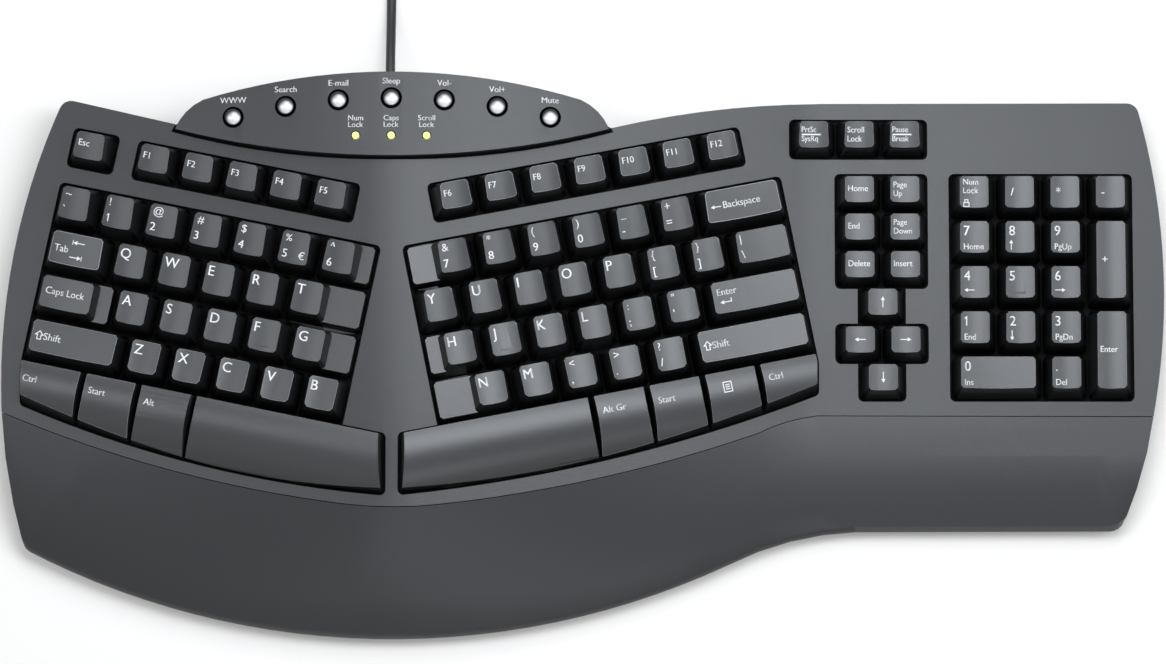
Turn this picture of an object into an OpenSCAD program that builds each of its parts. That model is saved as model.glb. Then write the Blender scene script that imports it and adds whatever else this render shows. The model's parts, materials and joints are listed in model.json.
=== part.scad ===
// Ergonomic split keyboard: two tented key halves, palm rest, hot-key hood, number pad and coiled cable.
// Millimetres. X is the width, +Y is the rear, Z is up; the rubber feet stand on Z = 0.

/* [Keys] */
// Centre distance of full-size keys
pitch = 19.05; // [18.5:0.05:19.5]
// Gap between neighbouring key skirts
key_gap = 0.85; // [0.6:0.05:1.2]
// Height of the home-row key tops above the deck
key_rise = 8.4; // [7.5:0.1:9.5]
// Travel of a pressed key
key_travel = 3.5; // [2.5:0.1:3.8]
// Depth of the finger dish in a key top
dish = 0.7; // [0.3:0.1:1.2]
// Slope inset of the key sides
side_inset = 3.1; // [2.4:0.1:3.4]
// Slope inset of the key fronts
front_inset = 4.2; // [3:0.1:5]
// Height of the low filler blocks beside the split
step_rise = 3; // [2:0.1:4.5]

/* [Tenting] */
// Tent angle of the left half
left_tent = 6; // [5:0.1:7]
// Tent angle of the right half
right_tent = 6.9; // [6:0.1:7.5]
// Turn of the left half in plan
left_yaw = 12; // [10:0.1:13]
// Turn of the right half in plan
right_yaw = 11.4; // [10:0.1:13]
// Distance of the letter fields from the ridge
split_half = 14; // [13:0.5:17]
// Height of the deck at the number pad
flat_z = 17; // [16.5:0.1:20]

/* [Case] */
// Wall thickness of the case shells
wall = 2.2; // [1.8:0.1:2.6]
// Height of the line where top and bottom case meet
parting = 7; // [6:0.5:8]
// Height of the palm rest along its front edge
edge_z = 10.5; // [9:0.5:14]
// Crown of the palm rest
palm_crown = 2.2; // [0:0.1:4]
// Height of the hood above the ridge
hood_rise = 3.4; // [2.6:0.1:5]
// Height of the rubber feet below the case
foot_h = 1.2; // [1:0.1:2]

/* [Cable] */
// Diameter of the cable
cable_d = 4; // [3.5:0.1:4.4]
// Outer radius of the coil at the cable centre
coil_r = 36.4; // [34:0.1:40]
// Number of loops in the coil
coil_turns = 11.25; // [9.25:1:11.25]

/* [Hidden] */
$fn = 48;

// Colours
deck_grey = [0.3, 0.31, 0.32];
key_grey = [0.2, 0.21, 0.22];
black = [0.08, 0.08, 0.09];
silver = [0.8, 0.8, 0.8];
clear_green = [0.7, 0.9, 0.2];
board_green = [0.1, 0.35, 0.2];
film = [0.75, 0.75, 0.7];

// Stack below the deck, measured along each field's own normal
skirt = -0.6;
plate_top = skirt - key_travel - 0.5;
plate_t = 1.4;
dome_top = plate_top - plate_t - 1.1;
dome_h = 4.5;
mat_t = 0.6;
film_t = 0.4;
mat_top = dome_top - dome_h;
bed = mat_top - mat_t - film_t;
back_inset = 1.1;
base_cut = 1;
top_cut = 0.75;
stem = [5, 4.2];
stem_gap = 0.1;
stem_bite = 0.4;
slide = 0.3;
guide_wall = 1.2;
cap_wall = 1.2;
roof = 1.5;
bar_size = [4.6, 0.6, 0.7];
foot_side = 0.6;
foot_front = 2;
foot_back = 0.7;
well_gap = 0.6;
well_r = 2.4;
frame_edge = 2.4;
floor_t = 2;
floor_z = foot_h + floor_t;

// Key fields: u runs to the right and v to the rear in each tented half
short_pitch = pitch * 5 / 6;
ridge_x = -80.3;
ridge_y = -0.8;
left_end = -split_half;
left_u0 = left_end - 7.25 * pitch;
right_u0 = split_half;
right_end = right_u0 + 8.5 * pitch;
field_back = 43.1;
field_front = field_back - 4 * pitch;
f_front = field_back + 7.9;
f_back = f_front + short_pitch;
escape_u = left_u0 + 0.8;
f_left_u = escape_u + 1.48 * pitch;
f_left_end = f_left_u + 5 * pitch;
f_right_u = right_u0 + 0.8 * pitch;
f_right_end = f_right_u + 7 * pitch;
row_lean = [0.8, 0.5, 0.1, -0.3];
row_lift = [0.9, 0.4, 0, 0.1];
bow_v = [field_front - 28.5, field_front - 27.8];
bow_u = [-50, 53];
bow_r = [500, 690];
bow_gap = 1;
low_side = 1.1;
low_front = 3.6;
low_start = [1.9, 3.2];
low_past = [4.4875, 4.375];
low_end = [low_past[0] - left_u0, low_past[1] + right_end];
ridge_grow = 1.3;
crown_r = 26;
crown_v = field_front - 8;
ridge_z = flat_z + right_end * tan(right_tent);
crease_x = ridge_x + right_end;

// Number side, in plain plan coordinates
nav_x = crease_x + 10.6;
nav_end = nav_x + 2 * pitch;
sys_x = nav_end - 3 * pitch;
pad_x = nav_end + 10;
pad_end = pad_x + 4 * pitch;
pad_back = 77.3;
pad_front = pad_back - 5 * pitch;
sys_back = pad_back + 23.1;
sys_front = sys_back - short_pitch;

// Deck line in the XZ plane: left slope, rounded ridge, right slope, rounded crease, flat
ridge_round = 100;
ridge_turn = (left_tent + right_tent) / 2;
ridge_cx = ridge_x + ridge_round / cos(ridge_turn) * sin((right_tent - left_tent) / 2) * -1;
ridge_cz = ridge_z - ridge_round / cos(ridge_turn) * cos((right_tent - left_tent) / 2);
crease_round = 100;
crease_cx = crease_x + crease_round * tan(right_tent / 2);
deck_line = concat(
    [[-300, ridge_z - (300 + ridge_x) * tan(left_tent)]],
    [for (i = [0:8]) let(a = -left_tent + i * (left_tent + right_tent) / 8)
        [ridge_cx + ridge_round * sin(a), ridge_cz + ridge_round * cos(a)]],
    [for (i = [0:5]) let(a = right_tent * (1 - i / 5))
        [crease_cx - crease_round * sin(a), flat_z + crease_round * (1 - cos(a))]],
    [[300, flat_z]]);
function deck_z(x) = lookup(x, deck_line);

// Plan helpers: arcs bulge to the right of travel, so positive sags swell outwards on these outlines
function unit(v) = v / norm(v);
function right_of(d) = [d[1], -d[0]];
function arc(p, q, sag, n) =
    let(d = q - p, h = norm(d) / 2, t = unit(d), m = right_of(t), r = (h * h + sag * sag) / (2 * sag),
        c = (p + q) / 2 + m * (sag - r), a = asin(h / r))
    [for (i = [0:n - 1]) let(f = a * (2 * i / n - 1)) c + r * (cos(f) * m + sin(f) * t)];
function line(p, q, n) = [for (i = [0:n - 1]) p + (q - p) * i / n];
function corner(a, b, c, r, n) =
    let(s = unit(a - b), e = unit(c - b), k = acos(s * e) / 2, p = b + s * r / tan(k),
        q = b + e * r / tan(k), sag = r * (1 - cos(90 - k)))
    concat(arc(p, q, sag, n), [q]);
function slice(l, a, b) = [for (i = [a:b]) l[i]];
function inset(l, d) = let(n = len(l)) [for (i = [0:n - 1])
    let(s = unit(l[i] - l[(i + n - 1) % n]), e = unit(l[(i + 1) % n] - l[i]), m = right_of(s) + right_of(e))
    l[i] - m * d * 2 / (m * m)];

// Place in a tented half: s is -1 for the left and 1 for the right
function zone_yaw(s) = s < 0 ? -left_yaw : right_yaw;
function zone_tent(s) = s < 0 ? -left_tent : right_tent;
function spot(s, u, v) = let(y = zone_yaw(s))
    [ridge_x + (u * cos(y) - v * sin(y)) * cos(zone_tent(s)), ridge_y + u * sin(y) + v * cos(y)];

// Case outline, taken from the key fields
corner_r = 5;
rear_left = spot(-1, escape_u, f_back) + [-5.1, 12.8];
front_left = spot(-1, left_u0, field_front - 17) + [4, -61.8];
swell_end = [ridge_x + 141, front_left[1] - 6.6];
flat_start = [nav_x + 8, pad_front - 54.8];
front_right = [pad_end - 5, pad_front - 54.5];
rear_right = [pad_end + 2.6, sys_back + 7.6];
rear_bend = [nav_x + 6.4, rear_right[1] - 0.2];
hood_y = spot(-1, f_left_end, f_back)[1] + 24.5;
hood_half = 91;
hood_right = [ridge_x + hood_half + 1, hood_y + 1];
hood_left = [ridge_x - hood_half, hood_y + 2.4];
bay_right = [ridge_x + hood_half - 14.5, hood_y + 10];
bay_left = [ridge_x - hood_half + 14.5, hood_y + 10];
left_side = arc(rear_left, front_left, 16.4, 20);
front_side = arc(front_left, swell_end, 34.3, 28);
front_flat = concat(arc(swell_end, flat_start, -3, 4), line(flat_start, front_right, 10));
right_side = arc(front_right, rear_right, 14.5, 20);
left_corner = corner(left_side[19], front_left, front_side[1], corner_r, 4);
right_corner = corner(front_flat[13], front_right, right_side[1], 6.5, 4);
front_path = concat(left_corner, slice(front_side, 1, 27), front_flat, right_corner);
rear_path = concat(
    corner(right_side[19], rear_right, rear_bend, corner_r, 4),
    arc(rear_bend, hood_right, 3.3, 8),
    line(hood_right, bay_right, 2),
    arc(bay_right, bay_left, 9.6, 14),
    line(bay_left, hood_left, 2),
    [hood_left],
    corner(hood_left, rear_left, left_side[1], corner_r, 4));
outline = concat(slice(left_side, 1, 19), front_path, slice(right_side, 1, 19), rear_path);

// Seam between deck and palm rest
function edge_x(side, y) = lookup(y, [for (p = side) [p[1], p[0]]]);
seam_left_y = spot(-1, left_u0, field_front - 17)[1] - 5;
seam_left = [edge_x(left_side, seam_left_y), seam_left_y];
seam_apex = [ridge_x, ridge_y - 64.1];
seam_round = 1.3;
seam_turn = spot(1, right_end - 31, field_front - 28);
seam_flat = [crease_x + 2.4, pad_front - 6.4];
seam_right_y = pad_front - 6.7;
seam_right = [edge_x(right_side, seam_right_y), seam_right_y];
seam_a = arc(seam_left, seam_apex, 6.5, 18);
seam_b = arc(seam_apex, seam_turn, 5, 14);
seam = concat(slice(seam_a, 0, 15), arc(seam_a[16], seam_b[2], seam_round, 4), slice(seam_b, 2, 13),
    arc(seam_turn, seam_flat, -1.2, 4), line(seam_flat, seam_right, 14), [seam_right]);
seam_gap = 0.3;
function past(p, q) = p + 3 * (p - q);

// Hood of the hot keys
hood_ends = [[ridge_x - hood_half, hood_y], [ridge_x + hood_half, hood_y]];
hood_shoulders = [hood_ends[0] + [12, 12], hood_ends[1] + [-12, 12]];
lens = concat(arc(hood_ends[0], hood_ends[1], 12.6, 20), arc(hood_ends[1], hood_shoulders[1], 1.7, 4),
    arc(hood_shoulders[1], hood_shoulders[0], 10.7, 20), arc(hood_shoulders[0], hood_ends[0], 1.7, 4));
hood_r = 410;
hood_top = ridge_z + hood_rise;
hood_low = ridge_z - 14;
hood_sink = 1.4;
hood_gap = 1.2;
window_half = hood_half - 17;
button_margin = 24.7;
button_pitch = (hood_half - button_margin) / 3;
button_arc = 300;
button_y = hood_y + 11.6;
button_r = 3.5;
button_hole = 4.5;
button_dome = 6.2;
flange_w = 0.6;
button_travel = 1;
led_y = hood_y - 4.2;
led_pitch = 14.8;
board_z = ridge_z - 16;
board_t = 1.6;
switch_h = 3.4;
switch_w = 6;
led_r = 1.5;
led_gap = 0.45;
led_base = 2;
led_proud = 0.2;
function hood_z(x) = hood_top - hood_r + sqrt(hood_r * hood_r - (x - ridge_x) * (x - ridge_x));
function button_at(i) = let(x = (i - 3) * button_pitch)
    [ridge_x + x, button_y - button_arc + sqrt(button_arc * button_arc - x * x)];

// Screws, feet and hinges
tuck = 2.6;
screw_spots = [[ridge_x - hood_half + 13, hood_y - 3], [ridge_x + hood_half - 11, hood_y - 4],
    [pad_x + 8, sys_back - 8], [pad_end - 6, sys_back - 8]];
screw_pad = floor_z + 2;
screw_seat = foot_h + 1.8;
boss_r = 3.4;
boss_rim = 1.4;
shank_r = 1.25;
shank_gap = 0.3;
thread_gap = 0.05;
grip = 6;
head_r = 2.7;
head_h = 1.4;
head_gap = 0.3;
pad_spots = [[ridge_x - 122, seam_apex[1] - 10], [ridge_x + 20, seam_apex[1] - 32],
    [pad_end - 24, pad_front - 36], [ridge_x - 128, 62], [ridge_x + 20, hood_y - 8], [pad_end - 12, 62]];
pad_r = 6;
pad_gap = 0.2;
pad_sink = 0.5;
foot_w = 24;
foot_l = 16.5;
foot_t = 3;
foot_gap = 0.4;
foot_pin = 1.5;
pin_l = 1.5;
knuckle_r = 2.4;
pocket_h = 6.8;
pocket_wall = 2;
foot_axis_z = foot_h + foot_t;
foot_spots = [[ridge_x - 110, hood_y - 4], [pad_end - 42, sys_back - 1]];
pin_run = 0.05;

// Cable route after the strain relief, then the coil and the tail
cable_x = ridge_x - 1.6;
exit_y = hood_y + 22.7;
relief_l = 6.2;
relief_r = 3.1;
relief_gap = 0.2;
relief_flange = 1.5;
exit_z = 12;
tie_t = 0.8;
tie_w = 10;
coil_z = tie_t + cable_d / 2 + 0.1;
coil_y = exit_y + 82;
coil_x = cable_x + coil_r;
loop_gap = 0.5;
loop_step = cable_d + loop_gap;
rings = 24;
coil_n = coil_turns * rings;
route = [[cable_x, exit_y, exit_z], [cable_x, exit_y + 4, exit_z], [cable_x, exit_y + 11, 11],
    [cable_x, exit_y + 19, 8], [cable_x, exit_y + 27, 4.6], [cable_x, exit_y + 34, 2.6],
    [cable_x, exit_y + 42, 2.1], [cable_x, exit_y + 60, 2.2], [cable_x, exit_y + 72, coil_z],
    [cable_x, coil_y - cable_d, coil_z]];
tail_z = coil_z + loop_step;
plug_z = 4.2;
neck_l = 8;
plug_size = [22, 15.6, 8];
shell_size = [14, 12, 4.5];
shell_t = 0.35;
tongue = [12, 10.8, 1.8];
plug_x = coil_x + 34;
tail_y = coil_y + coil_r;
tail = [[coil_x + cable_d, tail_y, tail_z], [coil_x + 8, tail_y, tail_z],
    [coil_x + 16, tail_y, tail_z - 0.9], [coil_x + 24, tail_y, plug_z + 0.4],
    [coil_x + 30, tail_y, plug_z], [plug_x, tail_y, plug_z]];
function climb(i) = max(0, min(1, (i - coil_n / 2) / 12 + 0.5));
function coil_at(i) = let(a = 180 - i * 360 / rings, r = coil_r - loop_step * min(i, coil_n - i) / rings)
    [coil_x + r * cos(a), coil_y + r * sin(a), coil_z + loop_step * climb(i)];
coil_path = concat([route[9]], [for (i = [0:coil_n]) coil_at(i)], [tail[0]]);
function path_len(p) = len(p) < 2 ? 0 : let(s = [for (i = [1:len(p) - 1]) norm(p[i] - p[i - 1])])
    s * [for (i = s) 1];
function heading(p, i) = unit(p[min(i + 1, len(p) - 1)] - p[max(i - 1, 0)]);
function ring_points(p, r, k) = [for (i = [0:len(p) - 1])
    let(t = heading(p, i), n = unit(cross(t, [0, 0, 1])), b = cross(n, t))
    for (j = [0:k - 1]) p[i] + r * (cos(360 * j / k) * n + sin(360 * j / k) * b)];

module tube(p, r, k) {
    last = (len(p) - 1) * k;
    sides = [for (i = [0:len(p) - 2]) for (j = [0:k - 1]) for (t = [0, 1])
        let(a = i * k + j, b = i * k + (j + 1) % k)
        t == 0 ? [a, b, b + k] : [a, b + k, a + k]];
    start = [for (j = [1:k - 2]) [0, j + 1, j]];
    end = [for (j = [1:k - 2]) [last, last + j, last + j + 1]];
    polyhedron(points = ring_points(p, r, k), faces = concat(sides, start, end));
}

// Frames of the three key fields
module zone(s) {
    if (s == 0) {
        translate([0, 0, flat_z]) children();
    } else {
        translate([ridge_x, ridge_y, ridge_z]) rotate([0, zone_tent(s), 0]) rotate([0, 0, zone_yaw(s)])
            children();
    }
}

module box2(a, b) {
    translate(a) square(b - a);
}

// Cells of the keys: [u0, u1, v0, v1]
function left_cell(r, k, w) = [left_u0 + k * pitch, left_u0 + (k + w) * pitch,
    field_back - (r + 1) * pitch, field_back - r * pitch];
function right_cell(r, k, w) = [right_u0 + k * pitch, right_u0 + (k + w) * pitch,
    field_back - (r + 1) * pitch, field_back - r * pitch];
function pad_cell(c, r, w, h) = [pad_x + c * pitch, pad_x + (c + w) * pitch,
    pad_back - (r + h) * pitch, pad_back - r * pitch];
function nav_cell(c, r) = [nav_x + c * pitch, nav_x + (c + 1) * pitch,
    pad_back - (r + 1) * short_pitch, pad_back - r * short_pitch];
function run(u, n, v0, v1) = [for (i = [0:n - 1]) [u + i * pitch, u + (i + 1) * pitch, v0, v1]];
escape_cells = run(escape_u, 1, f_front, f_back);
f_left_cells = run(f_left_u, 5, f_front, f_back);
f_right_cells = run(f_right_u, 7, f_front, f_back);
digit_left_cells = [for (i = [0:6]) left_cell(0, i, 1)];
tab_cells = [left_cell(1, 0, 1.5)];
q_cells = [for (i = [0:4]) left_cell(1, 1.5 + i, 1)];
caps_cells = [left_cell(2, 0, 1.5)];
a_cells = [for (i = [0:4]) left_cell(2, 1.75 + i, 1)];
left_shift_cells = [left_cell(3, 0, 2.25)];
z_cells = [for (i = [0:4]) left_cell(3, 2.25 + i, 1)];
digit_right_cells = [for (i = [0:5]) right_cell(0, 0.5 + i, 1)];
backspace_cells = [right_cell(0, 6.5, 2)];
y_cells = concat([for (i = [0:6]) right_cell(1, i, 1)], [right_cell(1, 7, 1.5)]);
h_cells = [for (i = [0:5]) right_cell(2, 0.25 + i, 1)];
enter_cells = [right_cell(2, 6.25, 2.25)];
n_cells = [for (i = [0:4]) right_cell(3, 0.75 + i, 1)];
right_shift_cells = [right_cell(3, 5.75, 2.75)];
left_ctrl_u = left_u0 + 1.5 * pitch;
left_start_u = left_ctrl_u + 1.25 * pitch;
left_alt_u = left_start_u + 1.25 * pitch;
right_ctrl_u = right_end - 1.4 * pitch;
menu_u = right_ctrl_u - 1.25 * pitch;
right_start_u = menu_u - 1.25 * pitch;
alt_gr_u = right_start_u - 1.25 * pitch;
function low_cell(a, b) = [a, b, field_front - short_pitch, field_front];
left_low_cells = [low_cell(left_u0, left_ctrl_u), low_cell(left_ctrl_u, left_start_u),
    low_cell(left_start_u, left_alt_u), low_cell(left_alt_u, 2)];
right_low_cells = [low_cell(alt_gr_u, right_start_u), low_cell(right_start_u, menu_u),
    low_cell(menu_u, right_ctrl_u), low_cell(right_ctrl_u, right_end), low_cell(-2, alt_gr_u)];
sys_cells = run(sys_x, 3, sys_front, sys_back);
nav_cells = [for (r = [0:2]) for (c = [0, 1]) nav_cell(c, r)];
up_cell = nav_cell(0.5, 3);
left_arrow_cell = nav_cell(0, 4);
right_arrow_cell = nav_cell(1, 4);
down_cell = nav_cell(0.5, 5);
pad_cells = concat([for (c = [0:3]) pad_cell(c, 0, 1, 1)],
    [for (r = [1:3]) for (c = [0:2]) pad_cell(c, r, 1, 1)], [pad_cell(2, 4, 1, 1)]);
plus_cell = pad_cell(3, 1, 1, 2);
pad_enter_cell = pad_cell(3, 3, 1, 2);
zero_cell = pad_cell(0, 4, 2, 1);
left_cells = concat(escape_cells, f_left_cells, digit_left_cells, tab_cells, q_cells, caps_cells, a_cells,
    left_shift_cells, z_cells, left_low_cells);
right_cells = concat(f_right_cells, digit_right_cells, backspace_cells, y_cells, h_cells, enter_cells,
    n_cells, right_shift_cells, right_low_cells);
side_cells = concat(sys_cells, nav_cells, [up_cell, left_arrow_cell, right_arrow_cell, down_cell],
    pad_cells, [plus_cell, pad_enter_cell, zero_cell]);
function mid(c) = [(c[0] + c[1]) / 2, (c[2] + c[3]) / 2];

// Plan of a field's bottom row, grown by g; its front edge follows a shallow bow
module low_plan(s, g) {
    k = s < 0 ? 0 : 1;
    intersection() {
        box2(s < 0 ? [left_u0 - g, bow_v[k] - 20] : [-60, bow_v[k] - 20],
            s < 0 ? [60, field_front + g] : [right_end + g, field_front + g]);
        translate([bow_u[k], bow_v[k] + bow_r[k]]) circle(bow_r[k] + g - well_gap, $fn = 360);
        rotate(-zone_yaw(s)) mirror([s < 0 ? 1 : 0, 0])
            box2([low_start[k] + well_gap - min(g, ridge_grow), -200], [low_end[k] - well_gap + g, 200]);
    }
}

// Plan of all wells of a field, grown by g around the key cells
module wells(s, g) {
    if (s < 0) {
        box2([left_u0 - g, field_front - g], [left_end + g, field_back + g]);
        box2([escape_u - g, f_front - g], [escape_u + pitch + g, f_back + g]);
        box2([f_left_u - g, f_front - g], [f_left_end + g, f_back + g]);
        low_plan(s, g);
    }
    if (s > 0) {
        box2([right_u0 - g, field_front - g], [right_end + g, field_back + g]);
        box2([f_right_u - g, f_front - g], [f_right_end + g, f_back + g]);
        low_plan(s, g);
    }
    if (s == 0) {
        box2([sys_x - g, sys_front - g], [nav_end + g, sys_back + g]);
        box2([nav_x - g, down_cell[3]] - [0, g], [nav_end + g, up_cell[2] + g]);
        box2([nav_x - g, up_cell[3] - g], [nav_end + g, pad_back + g]);
        box2([up_cell[0] - g, pad_front - g], [up_cell[1] + g, pad_back]);
        box2([pad_x - g, pad_front - g], [pad_end + g, pad_back + g]);
    }
}

// Plan of a field's guide plate, mat and film
module field_plan(s, g) {
    wells(s, g);
    if (s < 0) {
        box2([left_u0 - g, field_back - 1], [f_left_end + g, f_back + g]);
    }
    if (s > 0) {
        box2([f_right_u - g, field_back - 1], [f_right_end + g, f_back + g]);
    }
    if (s == 0) {
        box2([nav_x - g, pad_front - g], [pad_x, pad_back + g]);
        box2([nav_x - g, pad_back], [nav_end + g, sys_front]);
    }
}

// Keycap made of crossed wedge profiles: sides, front and back, and the two corner diagonals; d shrinks it
// for the hollow
module cap_form(c, rise, lean, side, front, back, d) {
    g = key_gap / 2 + d;
    low = d > 0 ? skirt - 1 : skirt;
    top = rise - (d > 0 ? roof : 0);
    over = rise + 2;
    k = (over - low) / (rise - low);
    w = (c[1] - c[0]) / 2 - g;
    h = (c[3] - c[2]) / 2 - g;
    reach = (w + h) / sqrt(2) - base_cut;
    back_cut = k * ((side + back) / sqrt(2) + top_cut - base_cut);
    front_cut = k * ((side + front) / sqrt(2) + top_cut - base_cut);
    translate([mid(c)[0], mid(c)[1], 0]) intersection() {
        rotate([90, 0, 90]) linear_extrude(2 * w + 2, center = true)
            polygon([[-h, low], [h, low], [h - back, top + lean], [front - h, top - lean]]);
        rotate([90, 0, 0]) linear_extrude(2 * h + 2, center = true)
            polygon([[-w, low], [w, low], [w - k * side, over], [k * side - w, over]]);
        rotate([90, 0, 45]) linear_extrude(4 * w + 4 * h, center = true)
            polygon([[-reach, low], [reach, low], [reach - back_cut, over], [front_cut - reach, over]]);
        rotate([90, 0, 135]) linear_extrude(4 * w + 4 * h, center = true)
            polygon([[-reach, low], [reach, low], [reach - back_cut, over], [front_cut - reach, over]]);
    }
}

module stem_post(p, top) {
    translate([p[0] - stem[0] / 2, p[1] - stem[1] / 2, dome_top + stem_gap])
        cube([stem[0], stem[1], top + stem_bite - dome_top]);
}

// One key on its cell; foot, when given, is the cell of a low filler block beside it
module key(c, rise, lean, foot = []) {
    depth = c[3] - c[2];
    front = depth > pitch * 0.9 ? front_inset : front_inset * 0.8;
    top_w = c[1] - c[0] - key_gap - 2 * side_inset;
    top_d = depth - key_gap - front - back_inset;
    bowl = top_w * top_w / (8 * dish) + dish / 2;
    top_v = (c[2] + c[3] + front - back_inset) / 2;
    difference() {
        union() {
            cap_form(c, rise, lean, side_inset, front, back_inset, 0);
            if (len(foot) > 0) {
                cap_form(foot, step_rise, 0, foot_side, foot_front, foot_back, 0);
            }
        }
        translate([mid(c)[0], top_v, rise - dish]) rotate([atan2(2 * lean, top_d), 0, 0])
            translate([0, 0, bowl]) rotate([90, 0, 0])
                cylinder(r = bowl, h = 3 * pitch, center = true, $fn = 180);
        cap_form(c, rise - dish, lean, side_inset, front, back_inset, cap_wall);
        if (len(foot) > 0) {
            cap_form(foot, step_rise, 0, foot_side, foot_front, foot_back, cap_wall);
        }
    }
    stem_post(mid(c), rise - dish - roof);
}

module keys(s, cells, row = 2) {
    color(key_grey) zone(s) for (c = cells) key(c, key_rise + row_lift[row], row_lean[row]);
}

// Raised bar that fingers find on the home keys
module homing_bar(s, c) {
    v = c[2] + key_gap / 2 + front_inset + 3 * bar_size[1];
    color(key_grey) zone(s) translate([mid(c)[0], v, key_rise - dish]) cube(bar_size, center = true);
}

// Bottom-row key: bowed front, ends in line with the ridge, top rounded over towards the palm rest
module low_form(s, a, b, d) {
    k = s < 0 ? 0 : 1;
    g = key_gap / 2 + d;
    low = d > 0 ? skirt - 1 : skirt;
    over = key_rise + 2;
    side = low_side / (key_rise - skirt) * [low - skirt, over - skirt];
    front = low_front / (key_rise - skirt) * [low - skirt, over - skirt];
    ends = [low_start[k] + bow_gap + d, low_end[k] - bow_gap - d];
    r = bow_r[k] - bow_gap - d;
    intersection() {
        translate([0, field_front - g, 0]) rotate([90, 0, 0]) linear_extrude(2 * pitch)
            polygon([[a + g + side[0], low], [b - g - side[0], low],
                [b - g - side[1], over], [a + g + side[1], over]]);
        rotate([90, 0, -zone_yaw(s)]) linear_extrude(600, center = true)
            polygon([[s * (ends[0] + side[0]), low], [s * (ends[1] - side[0]), low],
                [s * (ends[1] - side[1]), over], [s * (ends[0] + side[1]), over]]);
        translate([0, crown_v, key_rise - crown_r]) rotate([0, 90, 0])
            cylinder(r = crown_r - (d > 0 ? roof : 0), h = 600, center = true, $fn = 180);
        translate([bow_u[k], bow_v[k] + bow_r[k], low])
            cylinder(r1 = r - front[0], r2 = r - front[1], h = over - low, $fn = 360);
    }
}

module low_key(s, a, b, posts) {
    color(key_grey) zone(s) {
        difference() {
            low_form(s, a, b, 0);
            low_form(s, a, b, cap_wall);
        }
        for (p = posts) {
            stem_post(p, key_rise - roof);
        }
    }
}

space_post = 24;
space_over = 40;
function space_posts(c) = [for (i = [-1:1]) mid(c) + [i * space_post, 0]];

// Volume below the deck line, shifted by dz
module below_deck(dz) {
    translate([0, 150, 0]) rotate([90, 0, 0]) linear_extrude(300)
        polygon(concat([[300, -20], [-300, -20]], [for (p = deck_line) p + [0, dz]]));
}

// Plan of the deck behind the seam, inset by d
module deck_plan(d) {
    difference() {
        polygon(d > 0 ? inset(outline, d) : outline);
        polygon(concat([[-300, -200], [300, -200], past(seam_right, seam[palm_n - 1]) + [0, d]],
            [for (i = [palm_n - 1:-1:1]) seam[i] + [0, d]], [past(seam_left, seam[1]) + [0, d]]));
    }
}

module screw_boss(p, top) {
    translate([p[0], p[1], screw_pad + 0.1]) cylinder(r = boss_r, h = top - screw_pad);
}

module screw_bore(p) {
    translate([p[0], p[1], screw_pad - 1]) cylinder(r = shank_r + thread_gap, h = grip + 2);
}

module top_case() {
    color(deck_grey) difference() {
        union() {
            difference() {
                intersection() {
                    translate([0, 0, parting]) linear_extrude(ridge_z) deck_plan(0);
                    below_deck(0);
                }
                intersection() {
                    translate([0, 0, parting - 1]) linear_extrude(ridge_z) deck_plan(wall);
                    below_deck(-wall);
                }
            }
            for (p = screw_spots) {
                screw_boss(p, deck_z(p[0]) - 0.5);
            }
        }
        for (s = [-1:1]) {
            zone(s) translate([0, 0, -6]) linear_extrude(12)
                offset(r = well_r, $fn = 24) offset(delta = -well_r) wells(s, well_gap);
        }
        difference() {
            translate([0, 0, hood_low]) linear_extrude(ridge_z) polygon(inset(lens, -hood_gap));
            below_deck(-hood_sink);
        }
        translate([0, 0, board_z]) linear_extrude(ridge_z) intersection() {
            polygon(inset(lens, 3.4));
            deck_plan(wall + 0.1);
            translate([ridge_x, hood_y]) square([2 * window_half, 60], center = true);
        }
        for (p = screw_spots) {
            screw_bore(p);
        }
        translate([cable_x, exit_y, exit_z]) rotate([90, 0, 0]) cylinder(r = relief_r + relief_gap, h = 40);
    }
}

// Palm rest: straight generators from the seam to the front path, with a dropped front rim
palm_t = [0, 0.35, 0.7, 0.955, 1];
palm_n = len(seam) - 1;
palm_m = len(palm_t) - 1;
rim_drop = 2.4;
palm_bite = 0.2;
side_sag = 1.4;
function side_out(i) = i == 0 ? [-side_sag, 0] : i == palm_n ? [side_sag, 0] : [0, 0];
function palm_at(i, t) = let(a = seam[i] - [0, seam_gap], b = front_path[i])
    a + (b - a) * t + side_out(i) * 4 * t * (1 - t);
function palm_top(i, t) = let(za = deck_z(seam[i][0]) - 0.3, rim = t > 0.99 ? rim_drop : 0)
    za + (edge_z - za) * t + palm_crown * 4 * t * (1 - t) - rim;
function palm_in(i, t) = let(f = wall / norm(seam[i] - front_path[i]))
    palm_at(i, t * (1 - f)) + (i == 0 ? wall * unit(seam[1] - seam[0])
        : i == palm_n ? wall * unit(seam[palm_n - 1] - seam[palm_n]) : [0, 0]);
palm_marks = [[7, 0.5], [18, 0.5], [30, 0.5], [43, 0.5]];
palm_screws = [for (k = palm_marks) palm_at(k[0], k[1])];
palm_w = palm_m + 1;
palm_all = (palm_n + 1) * palm_w;
palm_points = concat(
    [for (i = [0:palm_n]) for (t = palm_t) let(p = palm_at(i, t)) [p[0], p[1], palm_top(i, t)]],
    [for (i = [0:palm_n]) for (t = palm_t) let(p = palm_in(i, t))
        [p[0], p[1], max(palm_top(i, t) - wall, parting + 0.4)]]);
palm_rim = concat([for (j = [0:palm_m]) j], [for (i = [1:palm_n]) i * palm_w + palm_m],
    [for (j = [palm_m - 1:-1:0]) palm_n * palm_w + j]);
rim_n = len(palm_rim);
palm_base = concat(
    [for (k = palm_rim) [palm_points[k][0], palm_points[k][1], parting]],
    [for (k = palm_rim) [palm_points[k + palm_all][0], palm_points[k + palm_all][1], parting]]);
function quad(a, b, c, d) = [[a, b, c], [a, c, d]];
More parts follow.
